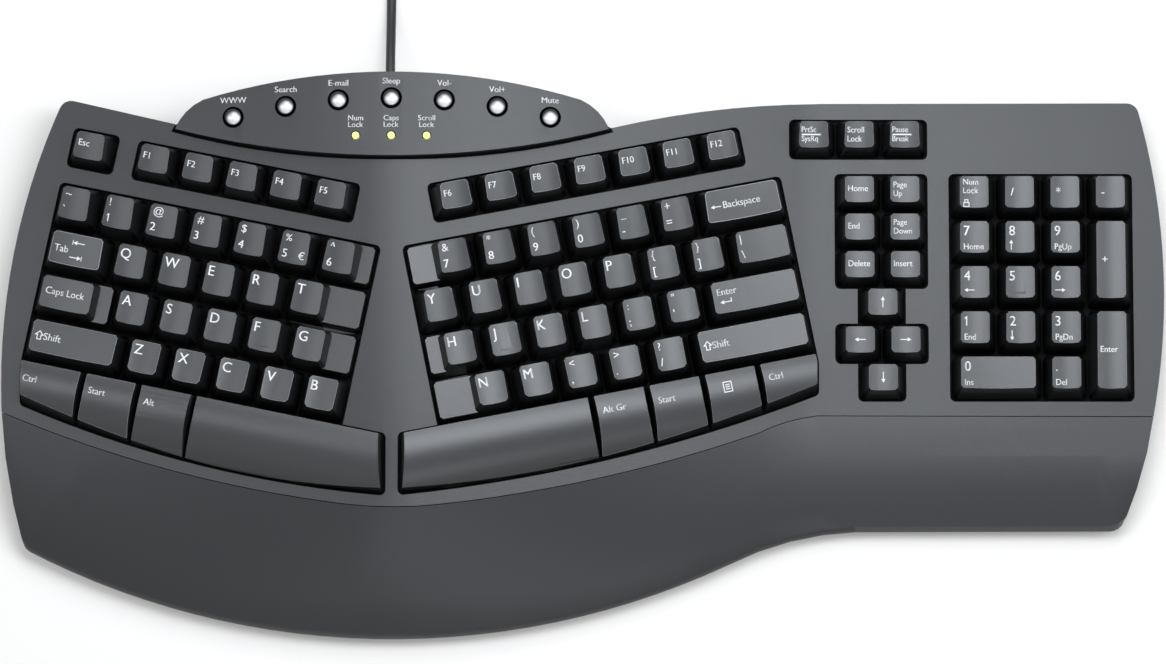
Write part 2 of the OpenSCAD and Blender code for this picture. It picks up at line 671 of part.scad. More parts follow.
function flat_list(l) = [for (q = l) for (f = q) f];
palm_faces = flat_list(concat(
    [for (i = [0:palm_n - 1]) for (j = [0:palm_m - 1]) let(a = i * palm_w + j)
        quad(a, a + palm_w, a + palm_w + 1, a + 1)],
    [for (i = [0:palm_n - 1]) for (j = [0:palm_m - 1]) let(a = palm_all + i * palm_w + j)
        quad(a, a + 1, a + palm_w + 1, a + palm_w)],
    [for (i = [0:palm_n - 1]) let(a = i * palm_w) quad(a, a + palm_all, a + palm_all + palm_w, a + palm_w)],
    [for (k = [0:rim_n - 2]) let(a = palm_rim[k], b = palm_rim[k + 1], c = 2 * palm_all + k)
        quad(a, b, c + 1, c)],
    [for (k = [0:rim_n - 2]) let(a = palm_rim[k] + palm_all, b = palm_rim[k + 1] + palm_all,
        c = 2 * palm_all + rim_n + k) quad(a, c, c + 1, b)],
    [for (k = [0:rim_n - 2]) let(c = 2 * palm_all + k) quad(c, c + 1, c + 1 + rim_n, c + rim_n)],
    [let(c = 2 * palm_all) quad(0, c, c + rim_n, palm_all)],
    [let(a = palm_n * palm_w, c = 2 * palm_all + rim_n - 1) quad(a, a + palm_all, c + rim_n, c)]));

module palm_rest() {
    color(deck_grey) difference() {
        union() {
            polyhedron(points = concat(palm_points, palm_base), faces = palm_faces);
            for (k = palm_marks) {
                screw_boss(palm_at(k[0], k[1]), palm_top(k[0], k[1]) - wall + palm_bite);
            }
        }
        for (p = palm_screws) {
            screw_bore(p);
        }
    }
}

module hood_barrel(d) {
    translate([ridge_x, 200, hood_top - hood_r]) rotate([90, 0, 0])
        cylinder(r = hood_r - d, h = 300, $fn = 360);
}

module hotkey_panel() {
    color(deck_grey) difference() {
        intersection() {
            translate([0, 0, hood_low]) linear_extrude(40) polygon(lens);
            hood_barrel(0);
        }
        intersection() {
            linear_extrude(2 * ridge_z) polygon(inset(outline, -0.1));
            below_deck(0.05 - hood_sink);
        }
        intersection() {
            translate([0, 0, hood_low - 1]) linear_extrude(40) polygon(inset(lens, wall));
            hood_barrel(wall);
        }
        for (i = [0:6]) {
            translate([button_at(i)[0], button_at(i)[1], board_z]) cylinder(r = button_hole, h = 40);
        }
        for (i = [-1:1]) {
            translate([ridge_x + i * led_pitch, led_y, board_z]) cylinder(r = led_r + led_gap, h = 40);
        }
    }
}

module led_lenses() {
    color(clear_green) for (i = [-1:1]) {
        x = ridge_x + i * led_pitch;
        low = board_z + board_t + led_base + 0.2;
        translate([x, led_y, low]) cylinder(r = led_r, h = hood_z(x) + led_proud - low);
    }
}

module hotkey(i) {
    p = button_at(i);
    z = hood_z(p[0]);
    stem_low = board_z + board_t + switch_h + button_travel + 0.2;
    color(silver) {
        translate([p[0], p[1], z - wall - 3]) intersection() {
            cylinder(r = button_r, h = wall + 5.2);
            translate([0, 0, wall + 5 - button_dome]) sphere(r = button_dome);
        }
        translate([p[0], p[1], stem_low]) cylinder(r = 2, h = z - wall - 2.5 - stem_low);
        translate([p[0], p[1], z - wall - 3]) cylinder(r = button_hole + flange_w, h = 1.2);
    }
}

module tact_switches() {
    color(black) for (i = [0:6]) {
        p = button_at(i);
        translate([p[0] - switch_w / 2, p[1] - switch_w / 2, board_z + board_t])
            cube([switch_w, switch_w, switch_h]);
    }
}

module controller_board() {
    color(board_green) {
        translate([0, 0, board_z]) linear_extrude(board_t) intersection() {
            polygon(inset(lens, 4.8));
            deck_plan(wall + 1.5);
            translate([ridge_x, hood_y]) square([2 * window_half - 4, 60], center = true);
        }
        translate([ridge_x + 24, led_y - 5, board_z + board_t - 0.2]) cube([10, 10, 1.6]);
        translate([ridge_x - 36, led_y - 4, board_z + board_t - 0.2]) cube([12, 6, 5]);
        for (i = [-1:1]) {
            translate([ridge_x + i * led_pitch, led_y, board_z + board_t - 0.2])
                cylinder(r = led_r, h = led_base + 0.2);
        }
    }
}

module key_frame(s, cells, extra) {
    posts = concat([for (c = cells) mid(c)], extra);
    difference() {
        union() {
            translate([0, 0, plate_top - plate_t]) linear_extrude(plate_t) field_plan(s, frame_edge);
            translate([0, 0, mat_top]) linear_extrude(-wall - 0.9 - mat_top) difference() {
                field_plan(s, frame_edge);
                offset(delta = -1.4) field_plan(s, frame_edge);
            }
            for (p = posts) {
                translate([p[0], p[1], plate_top - 0.5]) linear_extrude(-plate_top)
                    square(stem + [2, 2] * (slide + guide_wall), center = true);
            }
        }
        for (p = posts) {
            translate([p[0], p[1], mat_top]) linear_extrude(1 - mat_top)
                square(stem + [2, 2] * slide, center = true);
        }
    }
}

module key_frames() {
    color(film) {
        zone(-1) key_frame(-1, left_cells, [for (i = [0, 2]) space_posts(left_low_cells[3])[i]]);
        zone(1) key_frame(1, right_cells, [for (i = [0, 2]) space_posts(right_low_cells[4])[i]]);
        zone(0) key_frame(0, side_cells, []);
    }
}

module dome_mat(s, cells) {
    zone(s) {
        translate([0, 0, mat_top - mat_t]) linear_extrude(mat_t) field_plan(s, frame_edge);
        for (c = cells) {
            translate([mid(c)[0], mid(c)[1], mat_top - 0.2]) cylinder(r1 = 4.4, r2 = 3, h = dome_h + 0.2);
        }
    }
}

module dome_mats() {
    color(film) {
        dome_mat(-1, left_cells);
        dome_mat(1, right_cells);
        dome_mat(0, side_cells);
    }
}

module membranes() {
    color(film) for (s = [-1:1]) {
        zone(s) translate([0, 0, bed]) linear_extrude(film_t) field_plan(s, frame_edge);
    }
}

// Ribs that carry the film of one field
module bed_ribs(s) {
    intersection() {
        zone(s) translate([0, 0, -50]) linear_extrude(50 + bed) intersection() {
            field_plan(s, frame_edge - 1);
            for (k = [-1:2]) {
                translate([0, 9 + k * 2 * pitch]) square([600, 1.6], center = true);
            }
        }
        translate([-300, -200, floor_z - 0.3]) cube([600, 400, 60]);
    }
}

module tilt_pocket(p, d, top) {
    translate([p[0] - foot_w / 2 - d, p[1] - foot_l - 2 * foot_gap - d, foot_h - (d > foot_gap ? 0 : 1)])
        cube([foot_w + 2 * d, foot_l + knuckle_r + 1 + 2 * d, top]);
}

module bottom_case() {
    base = inset(outline, tuck);
    n = len(outline);
    color(black) difference() {
        union() {
            difference() {
                polyhedron(
                    points = concat([for (p = base) [p[0], p[1], foot_h]],
                        [for (p = outline) [p[0], p[1], parting]], [[0, 0, foot_h], [0, 0, parting]]),
                    faces = concat(
                        [for (i = [0:n - 1]) [i, n + (i + 1) % n, (i + 1) % n]],
                        [for (i = [0:n - 1]) [i, n + i, n + (i + 1) % n]],
                        [for (i = [0:n - 1]) [2 * n, i, (i + 1) % n]],
                        [for (i = [0:n - 1]) [2 * n + 1, n + (i + 1) % n, n + i]]));
                translate([0, 0, floor_z]) linear_extrude(parting)
                    polygon(inset(outline, tuck + wall - 0.6));
            }
            for (s = [-1:1]) {
                bed_ribs(s);
            }
            for (p = concat(screw_spots, palm_screws)) {
                translate([p[0], p[1], floor_z - 0.5])
                    cylinder(r = boss_r + boss_rim, h = screw_pad - floor_z + 0.5);
            }
            for (p = foot_spots) {
                tilt_pocket(p, pocket_wall, pocket_h + 0.6);
            }
        }
        for (p = foot_spots) {
            tilt_pocket(p, foot_gap, pocket_h);
            translate([p[0], p[1], foot_axis_z]) rotate([0, 90, 0])
                cylinder(r = foot_pin + pin_run, h = foot_w + 2 * pin_l + foot_gap, center = true);
        }
        for (p = concat(screw_spots, palm_screws)) {
            translate([p[0], p[1], foot_h - 1]) cylinder(r = shank_r + shank_gap, h = grip + 3);
            translate([p[0], p[1], foot_h - 1])
                cylinder(r = head_r + head_gap, h = screw_seat - foot_h + 1);
        }
        for (p = pad_spots) {
            translate([p[0], p[1], foot_h - 1]) cylinder(r = pad_r + pad_gap, h = pad_sink + 1);
        }
    }
}

module case_screws() {
    color(silver) for (p = concat(screw_spots, palm_screws)) {
        translate([p[0], p[1], screw_seat - head_h]) cylinder(r = head_r, h = head_h);
        translate([p[0], p[1], screw_seat - 0.5]) cylinder(r = shank_r, h = screw_pad + grip - screw_seat);
    }
}

module rubber_feet() {
    color(black) for (p = pad_spots) {
        translate([p[0], p[1], 0]) cylinder(r = pad_r, h = foot_h + pad_sink);
    }
}

module tilt_foot(p) {
    color(black) {
        translate([p[0] - foot_w / 2, p[1] - foot_l, foot_h + foot_gap]) cube([foot_w, foot_l, foot_t]);
        translate([p[0], p[1], foot_axis_z]) rotate([0, 90, 0]) {
            cylinder(r = knuckle_r, h = foot_w, center = true);
            cylinder(r = foot_pin, h = foot_w + 2 * pin_l, center = true);
        }
    }
}

module strain_relief() {
    color(black) {
        translate([cable_x, exit_y, exit_z]) rotate([90, 0, 0])
            cylinder(r1 = relief_r - 0.5, r2 = relief_r, h = relief_l);
        translate([cable_x, exit_y - relief_l + 0.1, exit_z]) rotate([90, 0, 0])
            cylinder(r = relief_r + relief_flange, h = 2);
    }
}

module cable() {
    color(black) {
        tube(route, cable_d / 2, 8);
        tube(tail, cable_d / 2, 8);
    }
}

module cable_coil() {
    gaps = [for (i = [1:coil_n]) for (j = [i + rings - 4:coil_n + 1]) norm(coil_path[i] - coil_path[j])];
    echo(coil_gap = min(gaps) - cable_d);
    echo(cord_length = path_len(route) + path_len(coil_path) + path_len(tail));
    color(black) tube(coil_path, cable_d / 2, 6);
}

module cable_tie() {
    low = coil_r - (coil_turns + 1) / 2 * loop_step - cable_d / 2;
    out = coil_r + cable_d / 2 + 0.3;
    high = tail_z + cable_d / 2 + 0.3;
    color(black) translate([coil_x, coil_y, 0]) rotate([90, 0, 0]) linear_extrude(tie_w, center = true)
        difference() {
            box2([low - tie_t, 0], [out + tie_t, high + tie_t]);
            box2([low, tie_t], [out, high]);
        }
}

module usb_plug() {
    color(black) translate([plug_x, tail_y, plug_z]) {
        rotate([0, 90, 0]) cylinder(r1 = 2.6, r2 = 3.4, h = neck_l + 0.5);
        translate([neck_l, -plug_size[1] / 2, -plug_size[2] / 2]) cube(plug_size);
        translate([neck_l + plug_size[0] - 1, -tongue[1] / 2, -0.2]) cube(tongue);
    }
}

module usb_shell() {
    x = plug_x + neck_l + plug_size[0];
    color(silver) translate([x, tail_y - shell_size[1] / 2, plug_z - shell_size[2] / 2]) difference() {
        cube(shell_size);
        translate([-1, shell_t, shell_t]) cube(shell_size + [2, -2 * shell_t, -2 * shell_t]);
    }
}

module tilt_foot_left() { tilt_foot(foot_spots[0]); }
module tilt_foot_right() { tilt_foot(foot_spots[1]); }
module hotkey_web() { hotkey(0); }
module hotkey_search() { hotkey(1); }
module hotkey_mail() { hotkey(2); }
module hotkey_sleep() { hotkey(3); }
module hotkey_volume_down() { hotkey(4); }
module hotkey_volume_up() { hotkey(5); }
module hotkey_mute() { hotkey(6); }
module escape_key() { keys(-1, escape_cells, 0); }
module function_keys_left() { keys(-1, f_left_cells, 0); }

// Keys beside the split carry a low filler block out to the end of the field
module split_keys(s, cells, row, edge) {
    color(key_grey) zone(s) for (i = [0:len(cells) - 1]) {
        c = cells[i];
        foot = i == edge ? [s < 0 ? mid(c)[0] : right_u0, s < 0 ? left_end : mid(c)[0], c[2], c[3]] : [];
        key(c, key_rise + row_lift[row], row_lean[row], foot);
    }
}

module digit_keys_left() { split_keys(-1, digit_left_cells, 0, 6); }
module tab_key() { keys(-1, tab_cells, 1); }
module letter_keys_q_t() { split_keys(-1, q_cells, 1, 4); }
module caps_lock_key() {
    c = caps_cells[0];
    color(key_grey) zone(-1) key(c, key_rise, row_lean[2], [mid(c)[0], c[1] + pitch / 4, c[2], c[3]]);
}
module letter_keys_a_g() {
    split_keys(-1, a_cells, 2, 4);
    homing_bar(-1, a_cells[3]);
}
module left_shift_key() { keys(-1, left_shift_cells, 3); }
module letter_keys_z_b() { keys(-1, z_cells, 3); }
module left_ctrl_key() { low_key(-1, left_u0, left_ctrl_u, [mid(left_low_cells[0])]); }
module left_start_key() { low_key(-1, left_ctrl_u, left_start_u, [mid(left_low_cells[1])]); }
module left_alt_key() { low_key(-1, left_start_u, left_alt_u, [mid(left_low_cells[2])]); }
module left_space_bar() { low_key(-1, left_alt_u, space_over, space_posts(left_low_cells[3])); }
module function_keys_right() { keys(1, f_right_cells, 0); }
module digit_keys_right() { split_keys(1, digit_right_cells, 0, 0); }
module backspace_key() { keys(1, backspace_cells, 0); }
module letter_keys_y_p() { keys(1, y_cells, 1); }
module letter_keys_h_l() {
    split_keys(1, h_cells, 2, 0);
    homing_bar(1, h_cells[1]);
}
module enter_key() { keys(1, enter_cells, 2); }
module letter_keys_n_m() { split_keys(1, n_cells, 3, 0); }
module right_shift_key() { keys(1, right_shift_cells, 3); }
module right_modifier_keys() {
    for (i = [0:3]) {
        c = right_low_cells[i];
        low_key(1, c[0], c[1], [mid(c)]);
    }
}
module right_space_bar() { low_key(1, -space_over, alt_gr_u, space_posts(right_low_cells[4])); }
module system_keys() { keys(0, sys_cells, 0); }
module nav_keys() { keys(0, nav_cells); }
module up_arrow_key() { keys(0, [up_cell]); }
module left_arrow_key() { keys(0, [left_arrow_cell]); }
module right_arrow_key() { keys(0, [right_arrow_cell]); }
module down_arrow_key() { keys(0, [down_cell]); }
module keypad_keys() {
    keys(0, pad_cells);
    homing_bar(0, pad_cells[8]);
}
module keypad_plus_key() { keys(0, [plus_cell]); }
module keypad_enter_key() { keys(0, [pad_enter_cell]); }
module keypad_zero_key() { keys(0, [zero_cell]); }

top_case();
palm_rest();
hotkey_panel();
bottom_case();
key_frames();
dome_mats();
membranes();
controller_board();
tact_switches();
led_lenses();
case_screws();
rubber_feet();
strain_relief();
cable();
cable_coil();
cable_tie();
usb_plug();
usb_shell();
tilt_foot_left();
tilt_foot_right();
hotkey_web();
hotkey_search();
hotkey_mail();
hotkey_sleep();
hotkey_volume_down();
hotkey_volume_up();
hotkey_mute();
escape_key();
function_keys_left();
digit_keys_left();
tab_key();
letter_keys_q_t();
caps_lock_key();
letter_keys_a_g();
left_shift_key();
letter_keys_z_b();
left_ctrl_key();
left_start_key();
left_alt_key();
left_space_bar();
function_keys_right();
digit_keys_right();
backspace_key();
letter_keys_y_p();
letter_keys_h_l();
enter_key();
letter_keys_n_m();
right_shift_key();
right_modifier_keys();
right_space_bar();
system_keys();
nav_keys();
up_arrow_key();
left_arrow_key();
right_arrow_key();
down_arrow_key();
keypad_keys();
keypad_plus_key();
keypad_enter_key();
keypad_zero_key();
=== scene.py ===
import json
import math
import bmesh
import bpy
from mathutils import Matrix, Vector
from mathutils.bvhtree import BVHTree

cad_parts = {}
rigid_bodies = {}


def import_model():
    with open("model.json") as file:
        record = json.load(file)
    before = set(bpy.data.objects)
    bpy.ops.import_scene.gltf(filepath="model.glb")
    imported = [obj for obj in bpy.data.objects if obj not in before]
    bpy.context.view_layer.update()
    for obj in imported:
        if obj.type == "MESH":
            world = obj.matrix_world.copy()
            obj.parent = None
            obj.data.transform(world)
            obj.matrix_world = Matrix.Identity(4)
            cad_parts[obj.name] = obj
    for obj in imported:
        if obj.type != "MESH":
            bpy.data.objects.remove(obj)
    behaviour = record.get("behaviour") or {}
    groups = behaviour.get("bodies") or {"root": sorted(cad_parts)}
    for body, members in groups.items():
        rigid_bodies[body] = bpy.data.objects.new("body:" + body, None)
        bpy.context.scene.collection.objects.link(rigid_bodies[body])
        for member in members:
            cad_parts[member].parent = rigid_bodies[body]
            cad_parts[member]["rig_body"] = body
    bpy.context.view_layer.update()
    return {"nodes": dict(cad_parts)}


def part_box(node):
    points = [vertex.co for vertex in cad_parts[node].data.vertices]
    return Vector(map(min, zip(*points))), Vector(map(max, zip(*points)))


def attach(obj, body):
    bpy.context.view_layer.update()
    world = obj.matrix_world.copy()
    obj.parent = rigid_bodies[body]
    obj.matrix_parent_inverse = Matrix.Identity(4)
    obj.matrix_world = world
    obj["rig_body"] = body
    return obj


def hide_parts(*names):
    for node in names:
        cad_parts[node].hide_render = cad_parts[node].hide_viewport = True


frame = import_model()
nodes = frame["nodes"]
scene = bpy.context.scene
mm = 0.001

# Camera: fitted to the photograph from the key pitch
view = {
    "aim": (-0.3, 10.55, 20.0), "distance": 2000.0, "tilt": 6.2, "lens": 147.2, "sensor": 36.0,
    "nearest": 50.0, "farthest": 30000.0,
}
print("camera")


def addCamera(v):
    tilt = math.radians(v["tilt"])
    data = bpy.data.cameras.new("camera")
    data.lens = v["lens"]
    data.sensor_width = v["sensor"]
    data.clip_start = v["nearest"] * mm
    data.clip_end = v["farthest"] * mm
    cam = bpy.data.objects.new("camera", data)
    offset = Vector((0.0, -math.sin(tilt), math.cos(tilt))) * v["distance"]
    cam.location = (Vector(v["aim"]) + offset) * mm
    cam.rotation_euler = (tilt, 0.0, 0.0)
    scene.collection.objects.link(cam)
    scene.camera = cam


addCamera(view)


# Helpers
def link(name, mesh):
    obj = bpy.data.objects.new(name, mesh)
    scene.collection.objects.link(obj)
    return obj


def bodyOf(node):
    return nodes[node]["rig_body"]


# Cable: leaves below the hood, lies on the desk and ends in a tied coil outside the picture
cable = {
    "x": -81.9, "exitY": 117.608, "exitZ": 12.0, "diameter": 4.0, "coilRadius": 36.4, "coilTurns": 11.25,
    "coilZ": 2.9, "loopStep": 4.5, "plugX": 34.0, "plugZ": 4.2, "length": 1.79, "ringsPerLoop": 36,
    "coilAway": 82.0, "spanSteps": 3, "jacketSteps": 4,
}
print("cable")


def smoothPath(points, steps):
    pts = [Vector(p) for p in points]
    pts = [pts[0] * 2 - pts[1]] + pts + [pts[-1] * 2 - pts[-2]]
    path = []
    for i in range(1, len(pts) - 2):
        a, b, c, d = pts[i - 1:i + 3]
        for k in range(steps):
            t = k / steps
            path.append(0.5 * (2 * b + (c - a) * t + (2 * a - 5 * b + 4 * c - d) * t ** 2
                               + (3 * b - a - 3 * c + d) * t ** 3))
    return path + [pts[-2]]


def cablePath(c):
    x, y, z = c["x"], c["exitY"], c["exitZ"]
    coilY = y + c["coilAway"]
    coilX = x + c["coilRadius"]
    route = [(x, y, z), (x, y + 4, z), (x, y + 11, 11), (x, y + 19, 8), (x, y + 27, 4.6),
             (x, y + 34, 2.6), (x, y + 42, 2.1), (x, y + 60, 2.2), (x, y + 72, c["coilZ"]),
             (x, coilY - c["diameter"], c["coilZ"])]
    total = int(c["coilTurns"] * c["ringsPerLoop"])
    coil = []
    for i in range(total + 1):
        turn = i / c["ringsPerLoop"]
        angle = math.pi - turn * 2 * math.pi
        radius = c["coilRadius"] - c["loopStep"] * min(turn, c["coilTurns"] - turn)
        climb = max(0.0, min(1.0, (turn - c["coilTurns"] / 2) * 2 + 0.5))
        coil.append((coilX + radius * math.cos(angle), coilY + radius * math.sin(angle),
                     c["coilZ"] + c["loopStep"] * climb))
    tailY, tailZ = coilY + c["coilRadius"], c["coilZ"] + c["loopStep"]
    tail = [(coilX + c["diameter"], tailY, tailZ), (coilX + 8, tailY, tailZ),
            (coilX + 16, tailY, tailZ - 0.9), (coilX + 24, tailY, c["plugZ"] + 0.4),
            (coilX + 30, tailY, c["plugZ"]), (coilX + c["plugX"], tailY, c["plugZ"])]
    steps = c["spanSteps"]
    return smoothPath(route, steps) + [Vector(p) for p in coil] + smoothPath(tail, steps)


def addCable(c):
    path = cablePath(c)
    data = bpy.data.curves.new("cord", "CURVE")
    data.dimensions = "3D"
    # The real radius sits on the points, because Blender adds a point's radius to the curve's box
    data.bevel_depth = 1.0
    data.bevel_resolution = c["jacketSteps"]
    data.use_fill_caps = True
    spline = data.splines.new("POLY")
    spline.points.add(len(path) - 1)
    for point, p in zip(spline.points, path):
        point.co = (*(p * mm), 1.0)
        point.radius = c["diameter"] / 2 * mm
    spline.use_smooth = True
    cord = link("cord", data)
    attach(cord, "housing")
    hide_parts("cable", "cable_coil")
    return cord


cord = addCable(cable)


# Materials
def newGroup(name, inputs, outputs):
    group = bpy.data.node_groups.new(name, "ShaderNodeTree")
    for label, kind, value in inputs:
        socket = group.interface.new_socket(label, in_out="INPUT", socket_type=kind)
        socket.default_value = value
    for label, kind in outputs:
        group.interface.new_socket(label, in_out="OUTPUT", socket_type=kind)
    return group, group.nodes.new("NodeGroupInput"), group.nodes.new("NodeGroupOutput")


grainLook = {"scale": 1800.0, "depth": 0.3, "detail": 3.0, "roughness": 0.6, "height": 0.2}


def grainGroup():
    group, inp, out = newGroup(
        "mouldGrain",
        [("Scale", "NodeSocketFloat", grainLook["scale"]),
         ("Depth", "NodeSocketFloat", grainLook["depth"])],
        [("Normal", "NodeSocketVector"), ("Mask", "NodeSocketFloat")])
    coords = group.nodes.new("ShaderNodeTexCoord")
    noise = group.nodes.new("ShaderNodeTexNoise")
    noise.inputs["Detail"].default_value = grainLook["detail"]
    noise.inputs["Roughness"].default_value = grainLook["roughness"]
    bump = group.nodes.new("ShaderNodeBump")
    bump.inputs["Distance"].default_value = grainLook["height"] * mm
    links = group.links
    links.new(coords.outputs["Object"], noise.inputs["Vector"])
    links.new(inp.outputs["Scale"], noise.inputs["Scale"])
    links.new(inp.outputs["Depth"], bump.inputs["Strength"])
    links.new(noise.outputs["Fac"], bump.inputs["Height"])
    links.new(bump.outputs["Normal"], out.inputs["Normal"])
    links.new(noise.outputs["Fac"], out.inputs["Mask"])
    return group


def upwardGroup():
    group, inp, out = newGroup(
        "upwardMask",
        [("Low", "NodeSocketFloat", 0.8), ("High", "NodeSocketFloat", 0.95)],
        [("Mask", "NodeSocketFloat")])
    geo = group.nodes.new("ShaderNodeNewGeometry")
    split = group.nodes.new("ShaderNodeSeparateXYZ")
    ramp = group.nodes.new("ShaderNodeMapRange")
    links = group.links
    links.new(geo.outputs["Normal"], split.inputs["Vector"])
    links.new(split.outputs["Z"], ramp.inputs["Value"])
    links.new(inp.outputs["Low"], ramp.inputs["From Min"])
    links.new(inp.outputs["High"], ramp.inputs["From Max"])
    links.new(ramp.outputs["Result"], out.inputs["Mask"])
    return group


grain = grainGroup()
upward = upwardGroup()


def newMaterial(name, color, roughness, metallic=0.0, gloss=0.5,
                grainScale=0.0, grainDepth=0.0, spread=0.0):
    mat = bpy.data.materials.new(name)
    mat.use_nodes = True
    tree = mat.node_tree
    shader = tree.nodes["Principled BSDF"]
    shader.inputs["Base Color"].default_value = (*color, 1.0)
    shader.inputs["Roughness"].default_value = roughness
    shader.inputs["Metallic"].default_value = metallic
    shader.inputs["Specular IOR Level"].default_value = gloss
    if grainScale:
        node = tree.nodes.new("ShaderNodeGroup")
        node.node_tree = grain
        node.inputs["Scale"].default_value = grainScale
        node.inputs["Depth"].default_value = grainDepth
        tree.links.new(node.outputs["Normal"], shader.inputs["Normal"])
        if spread:
            rough = tree.nodes.new("ShaderNodeMapRange")
            rough.inputs["To Min"].default_value = roughness - spread
            rough.inputs["To Max"].default_value = roughness + spread
            tree.links.new(node.outputs["Mask"], rough.inputs["Value"])
            tree.links.new(rough.outputs["Result"], shader.inputs["Roughness"])
    return mat


# Painted shade and highlight: faces that point less upward get a darker copy of the key colour, a painted
# shade on the skirts, and faces marked rim get a much lighter colour, a painted highlight
def paintKeyShadeAndHighlight(mat, side, top, rim, low, high):
    tree = mat.node_tree
    shader = tree.nodes["Principled BSDF"]
    mask = tree.nodes.new("ShaderNodeGroup")
    mask.node_tree = upward
    mask.inputs["Low"].default_value = low
    mask.inputs["High"].default_value = high
    body = tree.nodes.new("ShaderNodeMix")
    body.data_type = "RGBA"
    body.inputs["A"].default_value = (*side, 1.0)
    body.inputs["B"].default_value = (*top, 1.0)
    edge = tree.nodes.new("ShaderNodeAttribute")
    edge.attribute_name = "rim"
    rimHighlight = tree.nodes.new("ShaderNodeMix")
    rimHighlight.data_type = "RGBA"
    rimHighlight.inputs["B"].default_value = (*rim, 1.0)
    tree.links.new(mask.outputs["Mask"], body.inputs["Factor"])
    tree.links.new(body.outputs["Result"], rimHighlight.inputs["A"])
    tree.links.new(edge.outputs["Fac"], rimHighlight.inputs["Factor"])
    tree.links.new(rimHighlight.outputs["Result"], shader.inputs["Base Color"])


# Painted shade: the base colour darkens from centre to edge by how squarely the surface faces the camera, a
# painted dark rim reflection
def paintFacingShade(mat, centre, edge, width):
    tree = mat.node_tree
    shader = tree.nodes["Principled BSDF"]
    facing = tree.nodes.new("ShaderNodeLayerWeight")
    facing.inputs["Blend"].default_value = 0.5
    ramp = tree.nodes.new("ShaderNodeMapRange")
    ramp.interpolation_type = "SMOOTHSTEP"
    ramp.inputs["From Max"].default_value = width
    mix = tree.nodes.new("ShaderNodeMix")
    mix.data_type = "RGBA"
    mix.inputs["A"].default_value = (*centre, 1.0)
    mix.inputs["B"].default_value = (*edge, 1.0)
    tree.links.new(facing.outputs["Facing"], ramp.inputs["Value"])
    tree.links.new(ramp.outputs["Result"], mix.inputs["Factor"])
    tree.links.new(mix.outputs["Result"], shader.inputs["Base Color"])


paint = {
    # On this line the gap colour is a painted shadow
    "case": (0.017, 0.0188, 0.0213), "base": (0.012, 0.0125, 0.013), "gap": (0.003, 0.003, 0.003),
    # On this line the side colour is a painted shade on the key skirts and the rim colour a painted
    # highlight on the key rims
    "keyTop": (0.03, 0.0322, 0.035), "keySideShade": (0.013, 0.0135, 0.0145), "keyRimHighlight": (0.4, 0.405, 0.41),
    # On this line the silver edge colour is a painted shade at the edges of the hot key domes
    "legend": (0.8, 0.81, 0.82), "silver": (0.72, 0.72, 0.73), "silverEdgeShade": (0.03, 0.03, 0.032),
    "lens": (0.72, 0.9, 0.2), "frame": (0.008, 0.008, 0.0085), "cable": (0.012, 0.012, 0.013),
    "steel": (0.6, 0.6, 0.6), "rubber": (0.015, 0.015, 0.015), "film": (0.5, 0.5, 0.45),
    "dome": (0.3, 0.3, 0.28), "board": (0.02, 0.1, 0.04),
}
# Slopes of the painted shade on the key skirts, width of the painted shade at the dome edges, and the glow
# of the lamp lenses
finish = {"keySideSlope": 0.55, "keyTopSlope": 0.9, "silverShadeWidth": 0.17, "lensGlow": 0.35}
print("materials")
caseMat = newMaterial("caseMoulding", paint["case"], roughness=0.38, grainScale=1600.0, grainDepth=0.2,
                      spread=0.05)
baseMat = newMaterial("baseMoulding", paint["base"], roughness=0.5, grainScale=1400.0, grainDepth=0.3)
keyMat = newMaterial("keycapMoulding", paint["keyTop"], roughness=0.3, gloss=0.6, grainScale=2200.0,
                     grainDepth=0.25, spread=0.05)
# Key skirts get a painted shade and key rims a painted highlight
paintKeyShadeAndHighlight(keyMat, paint["keySideShade"], paint["keyTop"], paint["keyRimHighlight"], finish["keySideSlope"],
        finish["keyTopSlope"])
legendMat = newMaterial("legendInk", paint["legend"], roughness=0.6)
gapMat = newMaterial("shadowGap", paint["gap"], roughness=0.8, gloss=0.05)
# Silver domes: silver paint, with a painted shade that darkens them towards their edges
silverMat = newMaterial("silverPaintAndEdgeShade", paint["silver"], roughness=0.3, metallic=0.3)
paintFacingShade(silverMat, paint["silver"], paint["silverEdgeShade"], finish["silverShadeWidth"])
steelMat = newMaterial("platedSteel", paint["steel"], roughness=0.3, metallic=1.0)
lensMat = newMaterial("lampLens", paint["lens"], roughness=0.3)
lensShader = lensMat.node_tree.nodes["Principled BSDF"]
lensShader.inputs["Emission Color"].default_value = (*paint["lens"], 1.0)
lensShader.inputs["Emission Strength"].default_value = finish["lensGlow"]
frameMat = newMaterial("guidePlate", paint["frame"], roughness=0.8, gloss=0.1)
rubberMat = newMaterial("softRubber", paint["rubber"], roughness=0.8, grainScale=900.0, grainDepth=0.3)
cableMat = newMaterial("cableJacket", paint["cable"], roughness=0.45)
filmMat = newMaterial("switchFilm", paint["film"], roughness=0.3)
domeMat = newMaterial("domeRubber", paint["dome"], roughness=0.7)
boardMat = newMaterial("solderMask", paint["board"], roughness=0.35)


def dress(obj, mat):
    obj.data.materials.clear()
    obj.data.materials.append(mat)


plainNodes = {
    "bottom_case": baseMat, "key_frames": frameMat, "dome_mats": domeMat, "membranes": filmMat,
    "controller_board": boardMat, "tact_switches": baseMat, "led_lenses": lensMat, "case_screws": steelMat,
    "rubber_feet": rubberMat, "strain_relief": rubberMat, "cable_tie": rubberMat, "usb_plug": rubberMat,
    "usb_shell": steelMat, "tilt_foot_left": baseMat, "tilt_foot_right": baseMat,
}
for name, mat in plainNodes.items():
    dress(nodes[name], mat)
dress(cord, cableMat)


# Softened copies of the moulded pieces: edges rounded, same size and place
soften = {"weld": 0.02, "flat": 0.6, "steps": 2}


